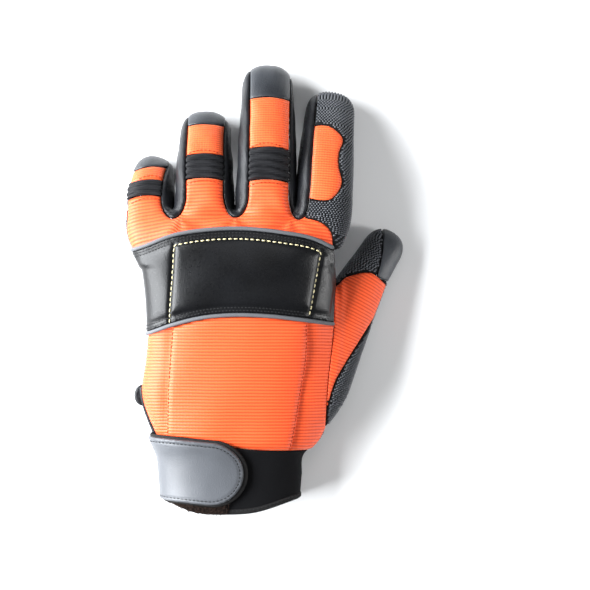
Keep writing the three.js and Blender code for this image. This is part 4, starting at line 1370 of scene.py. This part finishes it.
# %% Stitches
def stamped(name, shape, faces, places, forward, normal, slot, material):
    """Copies of a shape: its x runs forward, its y sideways and its z along the normal."""
    side = np.cross(normal, forward)
    side /= np.maximum(np.linalg.norm(side, axis=1, keepdims=True), 1e-9)
    frames = np.stack([forward, side, normal], axis=1)
    points = places[:, None] + shape @ frames
    faces = faces[None] + len(shape) * np.arange(len(places))[:, None, None]
    cloth = np.tile(shape[:, :2], (len(places), 1))
    piece = mesh_of(name, points.reshape(-1, 3), faces.reshape(-1, 4), cloth)
    print(name, len(places), "copies")
    return put_on(piece, slot, material=material)


def stitch_shape(length, thick):
    """A short rope of thread: six-sided rings along x, small at the ends, arched up between."""
    along = np.array([-0.5, -0.36, 0, 0.36, 0.5])
    size = np.array([0.35, 0.9, 1, 0.9, 0.35])
    turn = np.arange(6) * math.pi / 3
    x = np.repeat(along * length, 6)
    y = (size[:, None] * np.cos(turn) * thick / 2).ravel()
    z = (size[:, None] * np.sin(turn) * thick / 2 + (0.25 - along[:, None] ** 2) * thick).ravel()
    row = np.arange(4)[:, None] * 6
    here, following = row + np.arange(6), row + (np.arange(6) + 1) % 6
    faces = np.stack([here, following, following + 6, here + 6], axis=2).reshape(-1, 4)
    return (np.stack([x, y, z], axis=1),
            np.vstack([faces[:, ::-1], cap_quads(6), 24 + cap_quads(6)[:, ::-1]]))


def stitched(name, lines, slot, material, length, pitch, thick):
    """Stitches along plan lines; each line comes with its height over the hand's surface."""
    places, forward, normals = [], [], []
    for line, lift in lines:
        points, normal = drape(line, lift, spacing=pitch)
        way = directions(points)
        way -= (way * normal).sum(1, keepdims=True) * normal
        places.append(points)
        normals.append(normal)
        forward.append(way / np.maximum(np.linalg.norm(way, axis=1, keepdims=True), 1e-9))
    shape, faces = stitch_shape(length, thick)
    return stamped(name, shape, faces, np.vstack(places), np.vstack(forward), np.vstack(normals),
                   slot, material)


# %% [markdown]
# Rows of stitches on this glove: two dark rows along each border of the knuckle panel, a cream
# row that frames its padded part, orange rows on both sides of the padded back and where each
# elastic band is sewn in. Each row is a seam's line, moved aside by the width of its hem.

# %% Rows of stitches
def beside(line, shift):
    """A plan line moved sideways, to its left by shift."""
    way = np.gradient(line, axis=0)
    way /= np.linalg.norm(way, axis=1, keepdims=True)
    return line + shift * np.stack([-way[:, 1], way[:, 0]], axis=1)


def closest_to(line, place):
    return np.hypot(*(line - place).T).argmin()


knuckle_rows = [(part_of(beside(line, side * row), -56, 53), over("knuckle_panel", 0.12))
                for line, side in ((knuckle_top, -1), (knuckle_foot, 1)) for row in KNUCKLE_ROWS]
stitched("knuckle_stitches", knuckle_rows, "coated_leather", BLACK_THREAD, 1.4, 1.9, 0.45)

top_row = beside(knuckle_top, -FRAME_TOP)
first, last = (closest_to(top_row, side[1]) for side in (FRAME_LEFT, FRAME_RIGHT))
cream_line = np.vstack([FRAME_LEFT, top_row[first + 1:last], FRAME_RIGHT[::-1]])
stitched("cream_stitches", [(cream_line, over("knuckle_panel", 0.28))], "coated_leather", CREAM,
         2.0, 3.0, 0.75)

pad_rows = [(beside(line, 1.1), over("back_pad", 0.1)) for line in (pad_right, pad_left)]
stitched("pad_stitches", pad_rows, "ribbed_fabric", ORANGE_THREAD_PAINTED_SHADE, 1.7, 2.4, 0.45)

band_rows = []
for name in BANDED:
    below = cross_seam(name, FINGERS[name]["band_foot"], 0.4) - (0, 1.9)
    beyond = cross_seam(name, FINGERS[name]["band_top"], 0.36) + (0, 1.7)
    band_rows += [(below, over("back_panel", 0.12)), (beyond, over(f"{name}_patch", 0.12))]
stitched("band_stitches", band_rows, "ribbed_fabric", ORANGE_THREAD_PAINTED_SHADE, 1.5, 2.2, 0.45)


# %% [markdown]
# Grip beads. The grip fabric carries raised rubber beads in staggered rows. On the palm a row
# runs round the hand at one height up the page, on a finger round its path. Beads that fall
# outside the fabric's own distance are left out. Bump alone would make them too, but the beads
# break the glove's outline against the floor, so they are real shapes.

# %% Grip beads
PALM_PITCH = (2.0, 1.15)
DIGIT_PITCH = (1.75, 0.98)
PALM_BEADS = (30.0, 176.0)
HEEL_TOP = 96
ALONG_DIGIT = 10.0
INSIDE_FABRIC = 1.0


def bead_shape(pitch):
    """A low dome: a ring of six points on the cloth, a smaller one higher up, closed on top."""
    turn = np.arange(6) * math.pi / 3
    rings = [(1.0, -0.15), (0.62, 0.5)]
    points = np.vstack([np.stack([np.cos(turn) * size * pitch[0] * 0.42,
                                  np.sin(turn) * size * pitch[1] * 0.52, 0 * turn + level], axis=1)
                        for size, level in rings])
    here, following = np.arange(6), (np.arange(6) + 1) % 6
    faces = np.stack([here, following, following + 6, here + 6], axis=1)
    return points, np.vstack([faces, 6 + cap_quads(6)])


# %% [markdown]
# The rows follow the same rounded sections as the hand's form. A section is drawn once with
# many small steps, its length is added up, and the beads are set at even lengths along it. Every
# second row is moved by half a bead.

# %% Rows of beads
def signed_power(wave, power):
    """Raises the size of a cosine or sine to a power and keeps its sign: a rounded rectangle."""
    return np.sign(wave) * np.abs(wave) ** power


def palm_places():
    """Rows round the palm's sections, even along the arc from the middle of the underside."""
    found = []
    for row, y in enumerate(np.arange(*PALM_BEADS, PALM_PITCH[1])):
        along = np.array([y / PALM_LENGTH])
        centre, wide, rise, deep = (through(PALM_SECTIONS[:, 0], column, along)[0]
                                    for column in PALM_SECTIONS[:, 1:].T)
        turn = np.linspace(-1.5 * math.pi, 0.5 * math.pi, 361)
        flat = signed_power(np.cos(turn), 2 / ROUNDNESS)
        tall = signed_power(np.sin(turn), 2 / ROUNDNESS)
        x = centre * PALM_WIDTH + flat * wide * PALM_WIDTH / 2
        z = rise * KNUCKLE_HEIGHT + tall * deep * PALM_DEPTH / 2
        run = np.r_[0, np.cumsum(np.hypot(np.diff(x), np.diff(z)))]
        run -= np.interp(-0.5 * math.pi, turn, run)
        most = int(run[-1] / PALM_PITCH[0])
        at = (np.arange(-most, most + 1) + 0.5 * (row % 2)) * PALM_PITCH[0]
        found.append(np.stack([np.interp(at, run, x), 0 * at + y, np.interp(at, run, z)], axis=1))
    return np.vstack(found)


def digit_places(name, start=0.0):
    """Rows round a digit's sections, even along the arc from the middle of its back."""
    digit, path = DIGITS[name], DIGITS[name]["path"]
    found = []
    for row, station in enumerate(np.arange(start, path["length"] - 0.5, DIGIT_PITCH[1])):
        share = np.array([station / path["length"]])
        size = through(digit["body"][:, 0], digit["body"][:, 1], share)[0]
        past = max(station - path["length"] + FINGERTIP, 0) / FINGERTIP
        size *= max(1 - past ** TIP_ROUNDNESS, 0.02) ** (1 / TIP_ROUNDNESS)
        turn = np.linspace(-0.5 * math.pi, 1.5 * math.pi, 181)
        across = signed_power(np.cos(turn), 2 / ROUNDNESS) * size * digit["wide"] / 2
        high = signed_power(np.sin(turn), 2 / ROUNDNESS) * size * digit["deep"] / 2
        run = np.r_[0, np.cumsum(np.hypot(np.diff(across), np.diff(high)))]
        count = max(int(round(run[-1] / DIGIT_PITCH[0])), 3)
        at = run[-1] * (np.arange(count) + 0.5 * (row % 2)) / count
        centre, side, up = (np.array([np.interp(station, path["at"], column)
                                      for column in path[key].T])
                            for key in ("place", "side", "up"))
        found.append(centre + np.interp(at, run, across)[:, None] * side
                     + np.interp(at, run, high)[:, None] * up)
    return np.vstack(found)


# %% [markdown]
# Last, each place slides onto the surface and is kept where it lies on the hand and far enough
# inside the fabric. Close to a seam the fabric is folded in, and a bead there would stick out.

# %% Beads on the fabric
def beads(name, places, distance, pitch=DIGIT_PITCH, wanted=None):
    """Beads at the places that lie on the hand, inside the fabric and inside what is wanted."""
    places = settle(places, rounds=5)
    on_hand = (np.abs(read(places)) < 0.3) & (places[:, 2] > 0.3)
    keep = on_hand & (distance(places) > INSIDE_FABRIC)
    if wanted is not None:
        keep &= wanted(places)
    places = places[keep]
    normal = outward(places)
    forward = np.tile([1.0, 0, 0], (len(places), 1))
    forward[np.abs(normal[:, 0]) > 0.8] = (0, 0, 1)
    forward -= (forward * normal).sum(1, keepdims=True) * normal
    forward /= np.linalg.norm(forward, axis=1, keepdims=True)
    shape, faces = bead_shape(pitch)
    return stamped(name, shape, faces, places, forward, normal, "grip_fabric", BEAD)


def on_index(points):
    return (points[:, 1] > 0.93 * PALM_LENGTH) & (points[:, 0] > GAPS[2])


def off_index(points):
    return ~on_index(points)


palm_spots = palm_places()
on_heel = palm_spots[:, 1] < HEEL_TOP
beads("heel_beads", palm_spots[on_heel], palm_distance, PALM_PITCH, off_index)
beads("palm_beads", palm_spots[~on_heel], palm_distance, PALM_PITCH, off_index)
beads("index_beads", digit_places("index"), palm_distance, wanted=on_index)
beads("thumb_beads", digit_places("thumb", ALONG_DIGIT), thumb_grip_distance)
for name in BANDED:
    beads(f"{name}_beads", digit_places(name, ALONG_DIGIT),
          region(finger_palm_outline(name), grip_pad_outline(name), top=False))


# %% [markdown]
# The closure. A patch of loop pile is sewn over the cuff. The strap, moulded rubber with a dark
# backing that shows as a rim, comes round from the side and closes over it. Where it leaves
# the pile bare, short bent fibres stand in all directions. Hair would make them too, but a few
# hundred of the stitches' small shapes, curved, are enough for so small a patch.

# %% Loop pile, backing and strap
PILE_RIGHT = -0.03 * PALM_WIDTH
PILE_TOP = 0.223 * PALM_LENGTH
STRAP_GROOVE = 2.2
pile_foot = part_of(mouth_line, -PALM_WIDTH / 2, PILE_RIGHT) + (0, 0.4)
pile_outline = np.vstack([pile_foot, (PILE_RIGHT, PILE_TOP), (-PALM_WIDTH / 2, PILE_TOP)])
backing_outline = strap_outline(0, 0)
rubber_outline = strap_outline(STRAP_RIM, STRAP_LIP)


def pile_offset(points, gap, cloth):
    return 1.0 + 0.7 * rounded(gap, 1.5) + waves(points, 2.2, 81) * 0.12


def backing_offset(points, gap, cloth):
    return 2.3 + 0.8 * rounded(gap, 1.0)


def strap_offset(points, gap, cloth):
    """The strap lies on its backing, with a groove along its border for the stitches."""
    groove = np.exp(-((gap - STRAP_GROOVE) / 0.55) ** 2)
    return 3.4 + 1.4 * rounded(gap, 1.1) - 0.35 * groove


sewn("loop_pile", "pile", over_side(pile_outline), "loop_pile", pile_offset, thick=0.6)
sewn("strap_backing", "tape", over_side(backing_outline), "binding", backing_offset, thick=0.9)
sewn("wrist_strap", "rubber", over_side(rubber_outline), "rubber_strap", strap_offset, thick=1.2)


def loops(count=450, seed=5):
    """Short bent fibres standing on the pile in all directions, where the strap leaves it bare."""
    random = np.random.default_rng(seed)
    base, rise = SHEETS["loop_pile"]["base"], SHEETS["loop_pile"]["rise"]
    bare = np.flatnonzero(within(backing_outline, base) < 0.8)
    chosen = random.choice(bare, count)
    places = base[chosen] + random.uniform(-0.5, 0.5, (count, 3))
    normal = outward(places) + 0.5 * random.normal(size=(count, 3))
    normal /= np.linalg.norm(normal, axis=1, keepdims=True)
    places += outward(places) * (rise[chosen] + random.uniform(0, 0.4, count))[:, None]
    forward = np.cross(normal, random.normal(size=(count, 3)))
    forward /= np.linalg.norm(forward, axis=1, keepdims=True)
    shape, faces = stitch_shape(1.8, 0.28)
    shape[:, 2] -= 0.5 * shape[:, 0] ** 2
    return stamped("pile_loops", shape, faces, places, forward, normal, "loop_pile", PILE_FIBRE)


loops()
strap_row = strap_outline(STRAP_RIM + STRAP_GROOVE, STRAP_LIP + STRAP_GROOVE)
strap_row[[0, -1]] += (strap_row[[1, -2]] - strap_row[[0, -1]]) * 0.52
stitched("strap_stitches", [(strap_row, over("wrist_strap", 0.15))], "binding", BLACK_THREAD,
         1.5, 2.1, 0.5)
hem_row = part_of(mouth_line, PILE_RIGHT, 36) + (0, HEM_HEIGHT * 0.7)
stitched("hem_stitches", [(hem_row, 0.75)], "binding", BLACK_THREAD, 1.6, 2.3, 0.4)

# %% [markdown]
# The mouth of the cuff is bound with a folded tape. The tape's section is flat with rounded
# corners. It is carried once round the opening, a little inside the cuff's surface, and the
# last ring joins the first. A bevelled curve would twist where the opening bends sharply, but
# here every section stands upright to the cuff.

# %% Hem of the cuff's mouth
HEM_RINGS = 240
HEM_SIDES = 24
HEM_HALF_THICK = 1.75
HEM_INSET = 1.05
turn = np.linspace(0, 2 * math.pi, HEM_RINGS + 1)[:-1]
mouth_section = PALM_SECTIONS[1]
mouth_x = mouth_section[1] * PALM_WIDTH + np.cos(turn) * mouth_section[2] * PALM_WIDTH / 2
mouth_y = np.interp(mouth_x, mouth_line[:, 0], mouth_line[:, 1])
mouth_z = mouth_section[3] * KNUCKLE_HEIGHT + np.sin(turn) * mouth_section[4] * PALM_DEPTH / 2
mouth_ring = settle(np.stack([mouth_x, mouth_y + HEM_HEIGHT / 2, mouth_z], axis=1), rounds=6)
mouth_ring[:, 1] = mouth_y + HEM_HEIGHT / 2
mouth_normal = outward(mouth_ring)
mouth_normal[:, 1] = 0
mouth_normal /= np.linalg.norm(mouth_normal, axis=1, keepdims=True)
section_turn = np.linspace(0, 2 * math.pi, HEM_SIDES + 1)[:-1]
flat = signed_power(np.cos(section_turn), 0.6)[None, :, None] * HEM_HALF_THICK - HEM_INSET
tall = signed_power(np.sin(section_turn), 0.6)[None, :, None]
hem_grid = (mouth_ring[:, None] + mouth_normal[:, None] * flat
            + np.array([0, 1, 0]) * tall * HEM_HEIGHT / 2)
hem_grid[..., 2] = np.maximum(hem_grid[..., 2], 0.05)

row, column = np.arange(HEM_RINGS)[:, None], np.arange(HEM_SIDES)[None]
next_row, next_column = (row + 1) % HEM_RINGS, (column + 1) % HEM_SIDES
hem_faces = np.stack([row * HEM_SIDES + column, row * HEM_SIDES + next_column,
                      next_row * HEM_SIDES + next_column, next_row * HEM_SIDES + column], axis=2)
hem_cloth = np.stack(np.broadcast_arrays(row * 0.75, column * 0.45), 2).reshape(-1, 2)
hem = mesh_of("cuff_hem_tape", hem_grid.reshape(-1, 3), hem_faces.reshape(-1, 4), hem_cloth)
put_on(hem, "binding", "cuff_hem")
print("hem", len(hem_grid), "rings")

# %% [markdown]
# A small leather tab is folded into the side seam below the little finger. It is a flat disc
# with a soft rim, half of which stays hidden in the hand, so it needs no cutting to fit. Below
# it the seam shows dark fabric from the side. Only a thin edge of that can be seen, so a
# narrow welt along the parting surface stands for it.

# %% Side tab and welt
TAB_REACH, TAB_LENGTH, TAB_THICK = 5, 12, 2.4
TAB_SIDES, TAB_ROWS = 48, 12
tab_middle = np.array([(-0.478 * PALM_WIDTH, 65.5, 0.0)])
tab_middle[0, 2] = parting_height(tab_middle)[0]
around = np.linspace(0, 2 * math.pi, TAB_SIDES + 1)[:-1]
levels = np.linspace(-math.pi / 2, math.pi / 2, TAB_ROWS + 1)
tab_grid = np.stack(np.broadcast_arrays(
    np.cos(around)[None] * TAB_REACH * np.cos(levels)[:, None] ** 0.35,
    np.sin(around)[None] * TAB_LENGTH / 2 * np.cos(levels)[:, None] ** 0.35,
    np.sin(levels)[:, None] * TAB_THICK / 2), 2).reshape(-1, 3) + tab_middle
row, column = np.arange(TAB_ROWS)[:, None] * TAB_SIDES, np.arange(TAB_SIDES)[None]
next_row, next_column = row + TAB_SIDES, (column + 1) % TAB_SIDES
tab_faces = np.stack([row + column, row + next_column, next_row + next_column,
                      next_row + column], axis=2).reshape(-1, 4)
tab_faces = np.vstack([tab_faces, cap_quads(TAB_SIDES)[:, ::-1],
                       TAB_ROWS * TAB_SIDES + cap_quads(TAB_SIDES)])
tab = mesh_of("side_tab_leather", tab_grid, tab_faces, tab_grid[:, :2])
put_on(tab, "leather", "side_tab", SIDE)

WELT_FOOT, WELT_TOP = 0.225 * PALM_LENGTH, 0.43 * PALM_LENGTH
WELT_THICK = 3.0
welt_y = np.arange(WELT_FOOT, WELT_TOP, 1.0)
welt = np.stack([np.full(len(welt_y), -0.5 * PALM_WIDTH), welt_y, 0 * welt_y], axis=1)
welt[:, 2] = parting_height(welt) + 1.0
welt = evenly(settle(welt, rounds=8), 0.9)
place, faces, cloth = tube(welt, outward(welt), WELT_THICK, WELT_THICK)
put_on(mesh_of("side_welt", place, faces, cloth), "leather", material=SIDE)
print("welt", len(welt), "places")


# %% [markdown]
# The floor is pale and plain, one face far larger than the glove, so that its edge stays out of sight.
# It is stage, not part of the glove. The world adds a weak bluish light from all sides that keeps the
# shadows from going black.

# %% Floor and world
FLOOR_HALF = 3.0
floor_mesh = bpy.data.meshes.new("floor")
floor_corners = [(x * FLOOR_HALF, y * FLOOR_HALF, 0) for x, y in ((-1, -1), (1, -1), (1, 1), (-1, 1))]
floor_mesh.from_pydata(floor_corners, [], [(0, 1, 2, 3)])
floor = bpy.data.objects.new("floor", floor_mesh)
bpy.context.scene.collection.objects.link(floor)
floor_finish = graph("floor_paper", (0.93, 0.93, 0.93), 0.8)[0]
floor_mesh.materials.append(floor_finish)

world = bpy.data.worlds.new("studio")
world.use_nodes = True
world.node_tree.nodes["Background"].inputs[0].default_value = (0.92, 0.96, 1.0, 1)
world.node_tree.nodes["Background"].inputs[1].default_value = 0.2
bpy.context.scene.world = world
print("floor", 2 * FLOOR_HALF, "m wide")


# %% [markdown]
# The light. One large lamp stands at the left, low enough to rake over the ribs and to let
# every roll and ridge cast a soft shade to its right. A weak one at the right opens the dark
# side, and a weaker one hangs above. A sky picture would light the glove from everywhere and
# flatten the relief.

# %% Lamps
def lamp(name, place, target, size, power, colour=(1, 1, 1)):
    light = bpy.data.lights.new(name, "AREA")
    light.color = colour
    light.shape = "RECTANGLE"
    light.size, light.size_y = size
    light.energy = power
    holder = bpy.data.objects.new(name, light)
    bpy.context.scene.collection.objects.link(holder)
    holder.location = place
    way = Vector(target) - Vector(place)
    holder.rotation_euler = way.to_track_quat("-Z", "Y").to_euler()
    print(name, power, "W")


lamp("lamp_left", (-0.95, 0.08, 0.48), (0, 0, 0.03), (1.2, 0.9), 78, (0.94, 0.97, 1))
lamp("lamp_right", (0.8, -0.1, 0.35), (0, 0, 0.03), (0.12, 0.6), 5)
lamp("lamp_above", (0.1, 0.35, 1.0), (0, 0, 0), (0.5, 0.5), 1)

# %% [markdown]
# The camera looks straight down on the back of the hand. It stands over a metre away, so that
# near and far parts keep their true proportions. The lens follows from the distance and from
# the width that the picture has to show, which is easier to read than a focal length.

# %% Camera
VIEW_CENTRE = np.array([33.3, 121.5, 30.0])
VIEW_WIDTH = 0.3275
VIEW_DISTANCE = 1.1
SENSOR = 36
camera = bpy.data.objects.new("camera", bpy.data.cameras.new("camera"))
bpy.context.scene.collection.objects.link(camera)
centre = (VIEW_CENTRE - ORIGIN) * MM
camera.location = (centre[0], centre[1], centre[2] + VIEW_DISTANCE)
camera.data.sensor_width = SENSOR
camera.data.lens = SENSOR * VIEW_DISTANCE / VIEW_WIDTH
camera.data.clip_start = 0.01
bpy.context.scene.camera = camera
bpy.context.scene.view_settings.view_transform = "Standard"
print("lens", round(camera.data.lens, 1), "mm")
